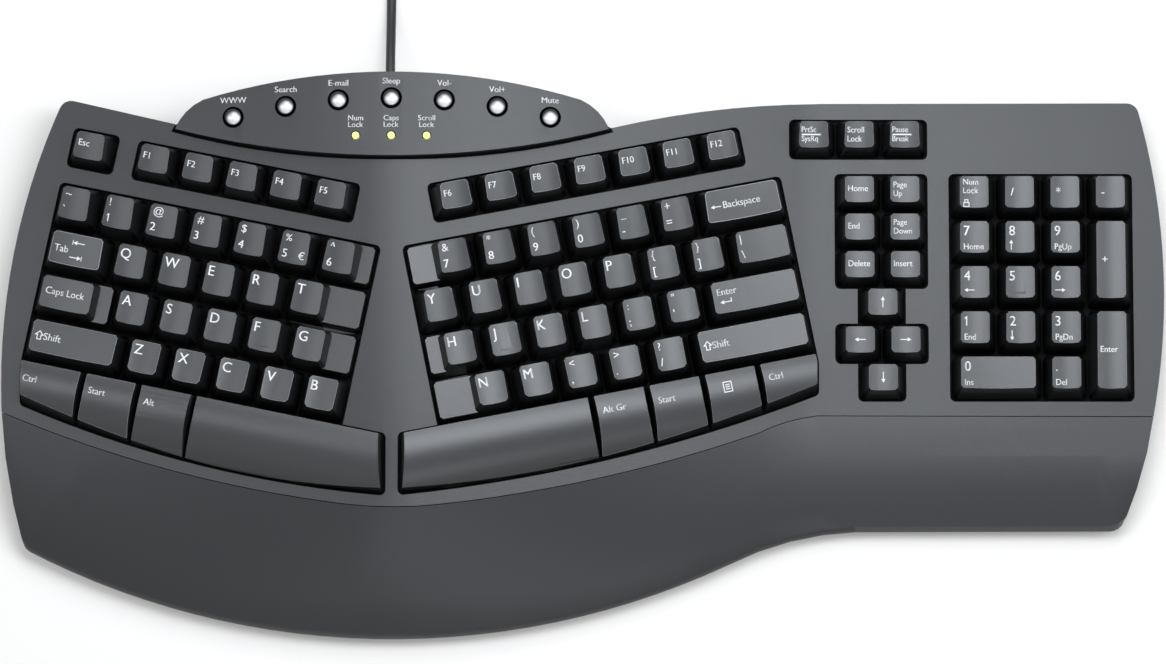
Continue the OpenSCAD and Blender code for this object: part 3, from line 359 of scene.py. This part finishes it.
def mergedCopy(node, name):
    mesh = nodes[node].data.copy()
    mesh.name = name
    bm = bmesh.new()
    bm.from_mesh(mesh)
    bmesh.ops.remove_doubles(bm, verts=bm.verts, dist=soften["weld"] * mm)
    bmesh.ops.dissolve_limit(bm, angle_limit=math.radians(soften["flat"]), verts=bm.verts,
                             edges=bm.edges, use_dissolve_boundaries=False)
    bm.normal_update()
    return mesh, bm


def place(node, mesh, bm, mats):
    bm.normal_update()
    mesh.materials.clear()
    for mat in mats:
        mesh.materials.append(mat)
    bm.to_mesh(mesh)
    bm.free()
    mesh.polygons.foreach_set("use_smooth", [True] * len(mesh.polygons))
    obj = link(mesh.name, mesh)
    even = obj.modifiers.new("evenNormals", "WEIGHTED_NORMAL")
    even.keep_sharp = True
    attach(obj, bodyOf(node))
    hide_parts(node)
    return obj


def roundEdges(bm, edges, width):
    return bmesh.ops.bevel(bm, geom=edges, offset=width * mm, offset_type="OFFSET", affect="EDGES",
                           segments=soften["steps"], profile=0.5, material=-1, clamp_overlap=True)


def sharpEdges(bm, angle):
    limit = math.radians(angle)
    return [e for e in bm.edges if len(e.link_faces) == 2 and e.calc_face_angle(0.0) > limit]


# Deck: two tented halves that fall from a ridge, and the flat number side
deck = {"ridgeX": -80.3, "ridgeZ": 38.289, "midY": -0.8, "flatZ": 17.0}
halves = {"left": {"tent": -6.0, "yaw": -12.0}, "right": {"tent": 6.9, "yaw": 11.4}}


def deckZ(x):
    half = halves["left" if x < deck["ridgeX"] else "right"]
    return deck["ridgeZ"] - abs(x - deck["ridgeX"]) * math.tan(math.radians(abs(half["tent"])))


def fieldMatrix(name):
    if name == "side":
        return Matrix.Translation((0.0, 0.0, deck["flatZ"] * mm))
    half = halves[name]
    ridge = Vector((deck["ridgeX"], deck["midY"], deck["ridgeZ"])) * mm
    tent = Matrix.Rotation(math.radians(half["tent"]), 4, "Y")
    yaw = Matrix.Rotation(math.radians(half["yaw"]), 4, "Z")
    return Matrix.Translation(ridge) @ tent @ yaw


# Shells: the deck's step below the hood and the walls of the hood's holes get a painted shadow in black
hoodGap = {"y": 94.9, "half": 93.0, "sag": 12.6, "reach": 3.0, "top": 0.35, "bottom": 2.0}
hoodHole = {"reach": 5.6, "wallSlope": 0.5}
shells = {
    "top_case": {"name": "deck", "round": 0.5, "sharp": 40.0},
    "palm_rest": {"name": "palmRest", "round": 0.9, "sharp": 40.0},
    "hotkey_panel": {"name": "hood", "round": 0.7, "sharp": 40.0},
}


def hoodGapFaces(bm, gap):
    for face in bm.faces:
        c = face.calc_center_median() / mm
        across = c.x - deck["ridgeX"]
        if abs(across) > gap["half"]:
            continue
        front = gap["y"] - gap["sag"] * (1.0 - (across / gap["half"]) ** 2)
        below = deckZ(c.x) - c.z
        if c.y > front - gap["reach"] and gap["top"] < below < gap["bottom"]:
            yield face


buttonNodes = [n for n in nodes if n.startswith("hotkey_") and n != "hotkey_panel"]
holeSpots = []
for node in buttonNodes + ["led_lenses"]:
    lo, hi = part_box(node)
    holeSpots.append(((lo[0] + hi[0]) / 2, (lo[1] + hi[1]) / 2))
lo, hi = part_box("led_lenses")
lampRadius = (hi[1] - lo[1]) / 2
holeSpots += [(lo[0] + lampRadius, holeSpots[-1][1]), (hi[0] - lampRadius, holeSpots[-1][1])]


def nearHole(edge):
    mid = (edge.verts[0].co + edge.verts[1].co) / 2
    return min(math.hypot(mid.x - x, mid.y - y) for x, y in holeSpots) < hoodHole["reach"] * mm


print("case")
for node, shell in shells.items():
    mesh, bm = mergedCopy(node, shell["name"])
    if node == "top_case":
        # The deck's step below the hood gets the painted shadow
        for face in hoodGapFaces(bm, hoodGap):
            face.material_index = 1
    edges = sharpEdges(bm, shell["sharp"])
    holeEdges = {e for e in edges if node == "hotkey_panel" and nearHole(e)}
    # The walls of the hood's holes get the painted shadow
    for edge in holeEdges:
        for face in edge.link_faces:
            if abs(face.normal.z) < hoodHole["wallSlope"]:
                face.material_index = 1
    roundEdges(bm, [e for e in edges if e not in holeEdges], shell["round"])
    place(node, mesh, bm, [caseMat, gapMat])

# Hot keys: silver domes, and below them a painted shadow in black on the stems
button = {"dome": 2.4}
for node in buttonNodes:
    mesh, bm = mergedCopy(node, node + "_cap")
    high = max(v.co.z for v in bm.verts)
    # Faces below the dome get the painted shadow
    for face in bm.faces:
        if face.calc_center_median().z < high - button["dome"] * mm:
            face.material_index = 1
    place(node, mesh, bm, [silverMat, gapMat])

# Keycaps: slanted corners rounded, then a fine rim around each top, whose faces carry a painted highlight
cap = {
    "corner": 0.7, "rim": 0.45, "skirt": -0.7, "topSlope": 0.75, "underSlope": -0.1, "sharp": 20.0,
    "stray": 0.03, "crown": 2.2,
}
fieldNodes = {
    "left": ["escape_key", "function_keys_left", "digit_keys_left", "tab_key", "letter_keys_q_t",
             "caps_lock_key", "letter_keys_a_g", "left_shift_key", "letter_keys_z_b", "left_ctrl_key",
             "left_start_key", "left_alt_key", "left_space_bar"],
    "right": ["function_keys_right", "digit_keys_right", "backspace_key", "letter_keys_y_p",
              "letter_keys_h_l", "enter_key", "letter_keys_n_m", "right_shift_key",
              "right_modifier_keys", "right_space_bar"],
    "side": ["system_keys", "nav_keys", "up_arrow_key", "left_arrow_key", "right_arrow_key",
             "down_arrow_key", "keypad_keys", "keypad_plus_key", "keypad_enter_key", "keypad_zero_key"],
}
fieldOf = {node: field for field, names in fieldNodes.items() for node in names}


def islands(bm):
    seen = set()
    for start in bm.verts:
        if start in seen:
            continue
        stack, group = [start], []
        seen.add(start)
        while stack:
            v = stack.pop()
            group.append(v)
            for e in v.link_edges:
                other = e.other_vert(v)
                if other not in seen:
                    seen.add(other)
                    stack.append(other)
        yield group


def outerEdges(bm, rim):
    chosen = []
    for group in islands(bm):
        xs = [v.co.x for v in group]
        ys = [v.co.y for v in group]
        mid = Vector(((min(xs) + max(xs)) / 2, (min(ys) + max(ys)) / 2, 0.0))
        for edge in {e for v in group for e in v.link_edges}:
            if len(edge.link_faces) != 2 or min(v.co.z for v in edge.verts) < cap["skirt"] * mm:
                continue
            if edge.calc_face_angle(0.0) < math.radians(cap["sharp"]):
                continue
            faces = edge.link_faces
            ups = [f.normal.z > cap["topSlope"] for f in faces]
            if any(f.normal.z < cap["underSlope"] for f in faces) or all(ups) or any(ups) != rim:
                continue
            if all(up or f.normal.dot(f.calc_center_median() - mid) > 0.0 for f, up in zip(faces, ups)):
                chosen.append(edge)
    return chosen


def softCap(node, field):
    toWorld = fieldMatrix(field)
    mesh, bm = mergedCopy(node, node + "_cap")
    bm.transform(toWorld.inverted())
    bm.normal_update()
    mark = bm.faces.layers.float.new("rim")
    solid = BVHTree.FromBMesh(bm)
    roundEdges(bm, outerEdges(bm, False), cap["corner"])
    bm.normal_update()
    ring = roundEdges(bm, outerEdges(bm, True), cap["rim"])
    # The rim faces are marked for the painted highlight of the key material
    for face in ring["faces"]:
        face[mark] = 1.0
    # A point that a bevel threw out is set back on the moulding, where the nearest face shows it outside
    for vert in bm.verts:
        spot, normal, _, far = solid.find_nearest(vert.co)
        if far > cap["stray"] * mm and (vert.co - spot).dot(normal) > 0.0:
            vert.co = spot
    bm.transform(toWorld)
    obj = place(node, mesh, bm, [keyMat])
    return obj


print("keys")
caps = {node: softCap(node, field) for node, field in fieldOf.items()}


def topRects(obj, toField):
    bm = bmesh.new()
    bm.from_mesh(obj.data)
    bm.transform(toField)
    rects = []
    for group in islands(bm):
        high = max(v.co.z for v in group)
        tops = [v.co for v in group if v.co.z > high - cap["crown"] * mm]
        xs = [p.x for p in tops]
        ys = [p.y for p in tops]
        rects.append((min(xs), max(xs), min(ys), max(ys)))
    bm.free()
    return rects


# Glyphs drawn as outlines in units of the cap height
def arrowShape(angle, length=1.0, head=0.34, shaft=0.04, barb=0.55):
    half = length / 2
    pts = [(-half, -shaft), (half - head, -shaft), (half - head, -head * barb), (half, 0.0),
           (half - head, head * barb), (half - head, shaft), (-half, shaft)]
    turn = Matrix.Rotation(math.radians(angle), 2)
    return [[tuple(turn @ Vector(p)) for p in pts]]


def shifted(poly, dx, dy):
    return [(p[0] + dx, p[1] + dy) for p in poly]


def bar(x0, y0, x1, y1):
    return [(x0, y0), (x1, y0), (x1, y1), (x0, y1)]


def strokeFrame(outer, inner):
    pieces = []
    for i in range(len(outer)):
        k = (i + 1) % len(outer)
        pieces.append([outer[i], outer[k], inner[k], inner[i]])
    return pieces


shiftOuter = [(0, 0.62), (-0.55, 0.05), (-0.26, 0.05), (-0.26, -0.45), (0.26, -0.45), (0.26, 0.05),
              (0.55, 0.05)]
shiftInner = [(0, 0.48), (-0.3, 0.15), (-0.16, 0.15), (-0.16, -0.35), (0.16, -0.35), (0.16, 0.15),
              (0.3, 0.15)]
menuOuter = [(-0.5, -0.6), (0.5, -0.6), (0.5, -0.2), (0.5, 0.2), (0.5, 0.6), (-0.5, 0.6), (-0.5, 0.2),
             (-0.5, -0.2)]
menuInner = [(-0.4, -0.5), (0.4, -0.5), (0.4, -0.2), (0.4, 0.2), (0.4, 0.5), (-0.4, 0.5), (-0.4, 0.2),
             (-0.4, -0.2)]
menuLines = [bar(-0.25, 0.2, 0.25, 0.29), bar(-0.25, -0.04, 0.25, 0.05), bar(-0.25, -0.28, 0.25, -0.19)]
lockOuter = [(-0.32, -0.4), (0.32, -0.4), (0.32, 0.1), (-0.32, 0.1)]
lockInner = [(-0.24, -0.32), (0.24, -0.32), (0.24, 0.02), (-0.24, 0.02)]
shackleOuter = [(-0.2, 0.1), (-0.2, 0.4), (0.2, 0.4), (0.2, 0.1)]
shackleInner = [(-0.12, 0.1), (-0.12, 0.32), (0.12, 0.32), (0.12, 0.1)]
openShackle = strokeFrame(shackleOuter, shackleInner)[:3]
shapes = {
    "<left>": arrowShape(180.0), "<right>": arrowShape(0.0), "<up>": arrowShape(90.0),
    "<down>": arrowShape(270.0), "<return>": arrowShape(180.0, 1.1) + [bar(0.47, 0.0, 0.55, 0.32)],
    "<shift>": strokeFrame(shiftOuter, shiftInner),
    "<menu>": strokeFrame(menuOuter, menuInner) + menuLines,
    "<tabs>": [shifted(arrowShape(180.0)[0], 0.0, 0.62), bar(-0.56, 0.42, -0.5, 0.82),
               shifted(arrowShape(0.0)[0], -0.1, -0.62), bar(0.4, -0.82, 0.46, -0.42)],
    "<lock>": strokeFrame(lockOuter, lockInner) + openShackle,
    "<bar>": [bar(-0.5, -0.035, 0.5, 0.035)],
    "1": [[(0.16, 0.0), (0.29, 0.0), (0.29, 1.0), (0.2, 1.0), (0.0, 0.8), (0.0, 0.68), (0.16, 0.8)]],
}


# Lettering: each letter is struck twice, side by side, for its weight
lettering = {"curve": 3, "thin": -0.004, "weight": 0.035, "lift": 0.04, "drop": 50.0}


def textMesh(text):
    data = bpy.data.curves.new("glyphs", "FONT")
    data.body = text
    data.size = 1.0
    data.resolution_u = lettering["curve"]
    data.offset = lettering["thin"]
    obj = bpy.data.objects.new("glyphs", data)
    scene.collection.objects.link(obj)
    bpy.context.view_layer.update()
    mesh = bpy.data.meshes.new_from_object(obj)
    bpy.data.objects.remove(obj)
    bpy.data.curves.remove(data)
    return mesh


def glyphGeometry(text):
    if text in shapes:
        verts, faces = [], []
        for poly in shapes[text]:
            faces.append(list(range(len(verts), len(verts) + len(poly))))
            verts += [Vector((p[0], p[1], 0.0)) for p in poly]
        return verts, faces
    mesh = textMesh(text)
    verts = [v.co / capHeight for v in mesh.vertices]
    faces = [list(p.vertices) for p in mesh.polygons]
    bpy.data.meshes.remove(mesh)
    return verts, faces


capMesh = textMesh("H")
capHeight = max(v.co.y for v in capMesh.vertices)
bpy.data.meshes.remove(capMesh)
glyphCache = {}


def glyph(text):
    if text not in glyphCache:
        glyphCache[text] = glyphGeometry(text)
    return glyphCache[text]


class Ink:
    def __init__(self, name, body, toWorld, target):
        self.name, self.body, self.toWorld = name, body, toWorld
        self.fromWorld = toWorld.inverted()
        bm = bmesh.new()
        bm.from_mesh(target.data)
        bm.transform(self.fromWorld)
        self.tree = BVHTree.FromBMesh(bm)
        bm.free()
        self.verts, self.faces = [], []

    def add(self, text, size, x, y, align="LEFT", squeeze=1.0):
        verts, faces = glyph(text)
        if not verts:
            return
        left = min(v.x for v in verts)
        right = max(v.x for v in verts)
        shift = {"LEFT": left, "CENTER": (left + right) / 2, "RIGHT": right}[align]
        for strike in (0.0,) if text in shapes else (-0.5, 0.5):
            base = len(self.verts)
            for v in verts:
                px = x + (v.x - shift) * size * mm * squeeze + strike * lettering["weight"] * size * mm
                py = y + v.y * size * mm
                above = Vector((px, py, lettering["drop"] * mm))
                hit = self.tree.ray_cast(above, Vector((0, 0, -1)))[0]
                z = hit.z if hit else 0.0
                self.verts.append(self.toWorld @ Vector((px, py, z + lettering["lift"] * mm)))
            self.faces += [[base + i for i in f] for f in faces]

    def build(self):
        mesh = bpy.data.meshes.new(self.name)
        mesh.from_pydata(self.verts, [], self.faces)
        mesh.update()
        obj = link(self.name, mesh)
        dress(obj, legendMat)
        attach(obj, self.body)
        return obj


# Legends: what each key carries, row by row from the rear, each row from left to right
legends = {
    "escape_key": ["word:Esc"],
    "function_keys_left": ["word:F%d" % i for i in range(1, 6)],
    "digit_keys_left": ["pair:~ / `", "pair:! / 1", "pair:@ / 2", "pair:# / 3", "pair:$ / 4",
                        "euro:% / 5", "pair:^ / 6"],
    "tab_key": ["tab:Tab"],
    "letter_keys_q_t": ["letter:" + c for c in "QWERT"],
    "caps_lock_key": ["wide:Caps Lock"],
    "letter_keys_a_g": ["letter:" + c for c in "ASDFG"],
    "left_shift_key": ["shift:Shift"],
    "letter_keys_z_b": ["letter:" + c for c in "ZXCVB"],
    "left_ctrl_key": ["low:Ctrl"],
    "left_start_key": ["low:Start"],
    "left_alt_key": ["low:Alt"],
    "function_keys_right": ["word:F%d" % i for i in range(6, 13)],
    "digit_keys_right": ["pair:& / 7", "pair:* / 8", "pair:( / 9", "pair:) / 0", "pair:_ / -", "pair:+ / ="],
    "backspace_key": ["back:Backspace"],
    "letter_keys_y_p": ["letter:" + c for c in "YUIOP"] + ["pair:{ / [", "pair:} / ]", "pair:| / \\"],
    "letter_keys_h_l": ["letter:H", "letter:J", "letter:K", "letter:L", "pair:: / ;", "pair:\" / '"],
    "enter_key": ["enter:Enter"],
    "letter_keys_n_m": ["letter:N", "letter:M", "pair:< / ,", "pair:> / .", "pair:? / /"],
    "right_shift_key": ["shift:Shift"],
    "right_modifier_keys": ["low:Alt Gr", "low:Start", "menu:", "low:Ctrl"],
    "system_keys": ["line:PrtSc / SysRq", "two:Scroll / Lock", "line:Pause / Break"],
    "nav_keys": ["one:Home", "two:Page / Up", "one:End", "two:Page / Down", "one:Delete", "one:Insert"],
    "up_arrow_key": ["sign:<up>"],
    "left_arrow_key": ["sign:<left>"],
    "right_arrow_key": ["sign:<right>"],
    "down_arrow_key": ["sign:<down>"],
    "keypad_keys": ["num:Num / Lock", "op:/", "op:*", "op:-", "pad:7 / Home", "padSign:8 / <up>",
                    "pad:9 / PgUp", "padSign:4 / <left>", "pad:5", "padSign:6 / <right>", "pad:1 / End",
                    "padSign:2 / <down>", "pad:3 / PgDn", "pad:. / Del"],
    "keypad_plus_key": ["op:+"],
    "keypad_enter_key": ["one:Enter"],
    "keypad_zero_key": ["pad:0 / Ins"],
}

# Each layout lists its marks: which text, size, edge and distance across, edge and distance along, squeeze
layouts = {
    "letter": [(0, 4.1, "L", 1.3, "T", 1.7, 0.95)],
    "word": [(0, 2.6, "L", 1.5, "M", -0.3, 0.95)],
    "pair": [(0, 3.1, "L", 1.8, "T", 1.3, 1.0), (1, 3.3, "L", 1.5, "B", 2.2, 1.0)],
    "euro": [(0, 2.8, "L", 1.8, "T", 1.5, 1.0), (1, 3.3, "L", 1.5, "B", 2.2, 1.0),
             ("€", 3.0, "R", 1.6, "B", 2.2, 1.0)],
    "tab": [(0, 2.8, "L", 1.7, "M", -1.6, 0.95), ("<tabs>", 5.0, "L", 8.6, "M", -0.1, 1.0)],
    "wide": [(0, 2.8, "L", 1.8, "M", -0.8, 0.95)],
    "shift": [("<shift>", 3.7, "L", 1.3, "M", 0.1, 1.0), (0, 2.9, "L", 5.3, "M", -1.2, 1.0)],
    "low": [(0, 2.7, "L", 2.4, "M", 0.8, 0.95)],
    "menu": [("<menu>", 3.8, "C", -2.2, "M", 2.4, 1.0)],
    "back": [("<left>", 4.4, "L", 2.0, "M", -0.3, 1.0), (0, 2.8, "L", 7.4, "M", -1.3, 0.95)],
    "enter": [(0, 2.8, "L", 2.0, "M", 1.0, 0.95), ("<return>", 4.6, "L", 2.6, "M", -2.0, 1.0)],
    "one": [(0, 2.5, "L", 1.3, "M", -0.9, 0.93)],
    "two": [(0, 2.4, "L", 1.3, "M", 0.75, 0.9), (1, 2.4, "L", 1.3, "M", -3.0, 0.9)],
    "line": [(0, 2.3, "L", 1.1, "M", 0.9, 0.88), ("<bar>", 8.0, "L", 1.1, "M", -0.1, 1.0),
             (1, 2.3, "L", 1.1, "M", -2.9, 0.88)],
    "sign": [(0, 4.6, "C", 0.0, "M", 0.0, 1.0)],
    "op": [(0, 3.2, "L", 2.4, "M", -1.5, 1.0)],
    "num": [(0, 2.4, "L", 1.5, "T", 1.2, 0.93), (1, 2.4, "L", 1.5, "T", 4.8, 0.93),
            ("<lock>", 4.0, "L", 1.5, "B", 1.9, 1.0)],
    "pad": [(0, 4.0, "L", 1.6, "T", 2.0, 0.95), (1, 2.5, "L", 1.6, "B", 1.4, 0.93)],
    "padSign": [(0, 4.0, "L", 1.6, "T", 2.0, 0.95), (1, 4.3, "L", 1.6, "B", 3.3, 1.0)],
}


def drawLegend(ink, rect, spec):
    kind, text = spec.split(":", 1)
    parts = text.split(" / ")
    u0, u1, v0, v1 = rect
    for part, size, across, dx, along, dy, squeeze in layouts[kind]:
        if part == 1 and len(parts) < 2:
            continue
        mark = parts[part] if isinstance(part, int) else part
        x = {"L": u0 + dx * mm, "R": u1 - dx * mm, "C": (u0 + u1) / 2 + dx * mm}[across]
        y = {"T": v1 - (dy + size) * mm, "B": v0 + dy * mm, "M": (v0 + v1) / 2 + dy * mm}[along]
        ink.add(mark, size, x, y, {"L": "LEFT", "R": "RIGHT", "C": "CENTER"}[across], squeeze)


rowStep = 8.0
print("legends")
for node, specs in legends.items():
    toWorld = fieldMatrix(fieldOf[node])
    rects = topRects(caps[node], toWorld.inverted())
    rects.sort(key=lambda r: (-round((r[2] + r[3]) / 2 / (rowStep * mm)), r[0]))
    ink = Ink("legend_" + node, bodyOf(node), toWorld, caps[node])
    for rect, spec in zip(rects, specs):
        drawLegend(ink, rect, spec)
    ink.build()

# Labels of the hot keys and indicator lamps
hood = bpy.data.objects["hood"]
ink = Ink("legend_hood", "housing", Matrix.Identity(4), hood)
hoodText = {"size": 2.4, "above": 6.0, "lampSize": 2.2, "lampLines": (6.3, 3.5)}
labels = {"hotkey_web": "WWW", "hotkey_search": "Search", "hotkey_mail": "E-mail", "hotkey_sleep": "Sleep",
          "hotkey_volume_down": "Vol-", "hotkey_volume_up": "Vol+", "hotkey_mute": "Mute"}
for node, text in labels.items():
    lo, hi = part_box(node)
    x, y = (lo[0] + hi[0]) / 2, (lo[1] + hi[1]) / 2
    ink.add(text, hoodText["size"], x, y + hoodText["above"] * mm, "CENTER")
lo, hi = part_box("led_lenses")
lamps = [("Num", "Lock"), ("Caps", "Lock"), ("Scroll", "Lock")]
for i, words in enumerate(lamps):
    x = lo[0] + lampRadius + i * (hi[0] - lo[0] - 2 * lampRadius) / 2
    y = (lo[1] + hi[1]) / 2
    for word, above in zip(words, hoodText["lampLines"]):
        ink.add(word, hoodText["lampSize"], x, y + above * mm, "CENTER")
ink.build()

# Stage, in metres: pale floor that glows a little, white surroundings, soft studio light
print("stage")
studio = {
    "floorSize": 12.0, "floor": (0.84, 0.82, 0.79), "world": 0.29, "backdrop": 0.75,
    "color": (0.96, 1.0, 1.06), "aim": (0.0, 0.0, 0.02),
}
floorGlow = {"From Min": 0.4, "From Max": 2.0, "To Min": 0.13, "To Max": 0.5}
softboxes = {
    "top": {"at": (0.1, 0.18, 0.75), "size": (0.5, 0.36), "radiance": 6.0},
    "left": {"at": (-0.7, 0.1, 0.95), "size": (0.3, 0.7), "radiance": 3.4},
    "right": {"at": (0.9, 0.1, 0.95), "size": (0.5, 0.7), "radiance": 2.9},
    "rear": {"at": (0.0, 1.0, 1.1), "size": (0.9, 0.4), "radiance": 3.5},
    "front": {"at": (0.1, -0.95, 0.9), "size": (0.7, 0.4), "radiance": 1.6},
}


def seenRays(tree):
    path = tree.nodes.new("ShaderNodeLightPath")
    both = tree.nodes.new("ShaderNodeMath")
    both.operation = "ADD"
    every = tree.nodes.new("ShaderNodeMath")
    every.operation = "ADD"
    every.use_clamp = True
    tree.links.new(path.outputs["Is Camera Ray"], both.inputs[0])
    tree.links.new(path.outputs["Is Glossy Ray"], both.inputs[1])
    tree.links.new(both.outputs["Value"], every.inputs[0])
    tree.links.new(path.outputs["Is Transmission Ray"], every.inputs[1])
    return every.outputs["Value"]


def addFloor(s):
    mesh = bpy.data.meshes.new("floor")
    half = s["floorSize"] / 2
    corners = [(-half, -half, 0), (half, -half, 0), (half, half, 0), (-half, half, 0)]
    mesh.from_pydata(corners, [], [(0, 1, 2, 3)])
    floor = link("floor", mesh)
    mat = newMaterial("floorPaper", s["floor"], roughness=0.9)
    tree = mat.node_tree
    shader = tree.nodes["Principled BSDF"]
    spot = tree.nodes.new("ShaderNodeTexCoord")
    away = tree.nodes.new("ShaderNodeVectorMath")
    away.operation = "LENGTH"
    ramp = tree.nodes.new("ShaderNodeMapRange")
    ramp.interpolation_type = "SMOOTHSTEP"
    for label, value in floorGlow.items():
        ramp.inputs[label].default_value = value
    lift = tree.nodes.new("ShaderNodeMath")
    lift.operation = "MULTIPLY"
    shader.inputs["Emission Color"].default_value = (1.0, 1.0, 1.0, 1.0)
    tree.links.new(spot.outputs["Object"], away.inputs[0])
    tree.links.new(away.outputs["Value"], ramp.inputs["Value"])
    tree.links.new(seenRays(tree), lift.inputs[0])
    tree.links.new(ramp.outputs["Result"], lift.inputs[1])
    tree.links.new(lift.outputs["Value"], shader.inputs["Emission Strength"])
    dress(floor, mat)


def addSoftbox(name, box, s):
    data = bpy.data.lights.new(name, "AREA")
    data.shape = "RECTANGLE"
    data.size, data.size_y = box["size"]
    data.energy = box["radiance"] * math.pi * data.size * data.size_y
    data.color = s["color"]
    light = bpy.data.objects.new(name, data)
    light.location = box["at"]
    light.rotation_euler = (Vector(box["at"]) - Vector(s["aim"])).to_track_quat("Z", "Y").to_euler()
    light.visible_camera = False
    scene.collection.objects.link(light)


def addWorld(s):
    world = bpy.data.worlds.new("studio")
    scene.world = world
    world.use_nodes = True
    tree = world.node_tree
    tree.nodes.clear()
    back = tree.nodes.new("ShaderNodeBackground")
    back.inputs["Color"].default_value = (1.0, 1.0, 1.0, 1.0)
    level = tree.nodes.new("ShaderNodeMapRange")
    level.inputs["To Min"].default_value = s["world"]
    level.inputs["To Max"].default_value = s["backdrop"]
    out = tree.nodes.new("ShaderNodeOutputWorld")
    tree.links.new(seenRays(tree), level.inputs["Value"])
    tree.links.new(level.outputs["Result"], back.inputs["Strength"])
    tree.links.new(back.outputs["Background"], out.inputs["Surface"])


addFloor(studio)
addWorld(studio)
for name, box in softboxes.items():
    addSoftbox(name + "Softbox", box, studio)
scene.view_settings.view_transform = "Standard"

print("finish")
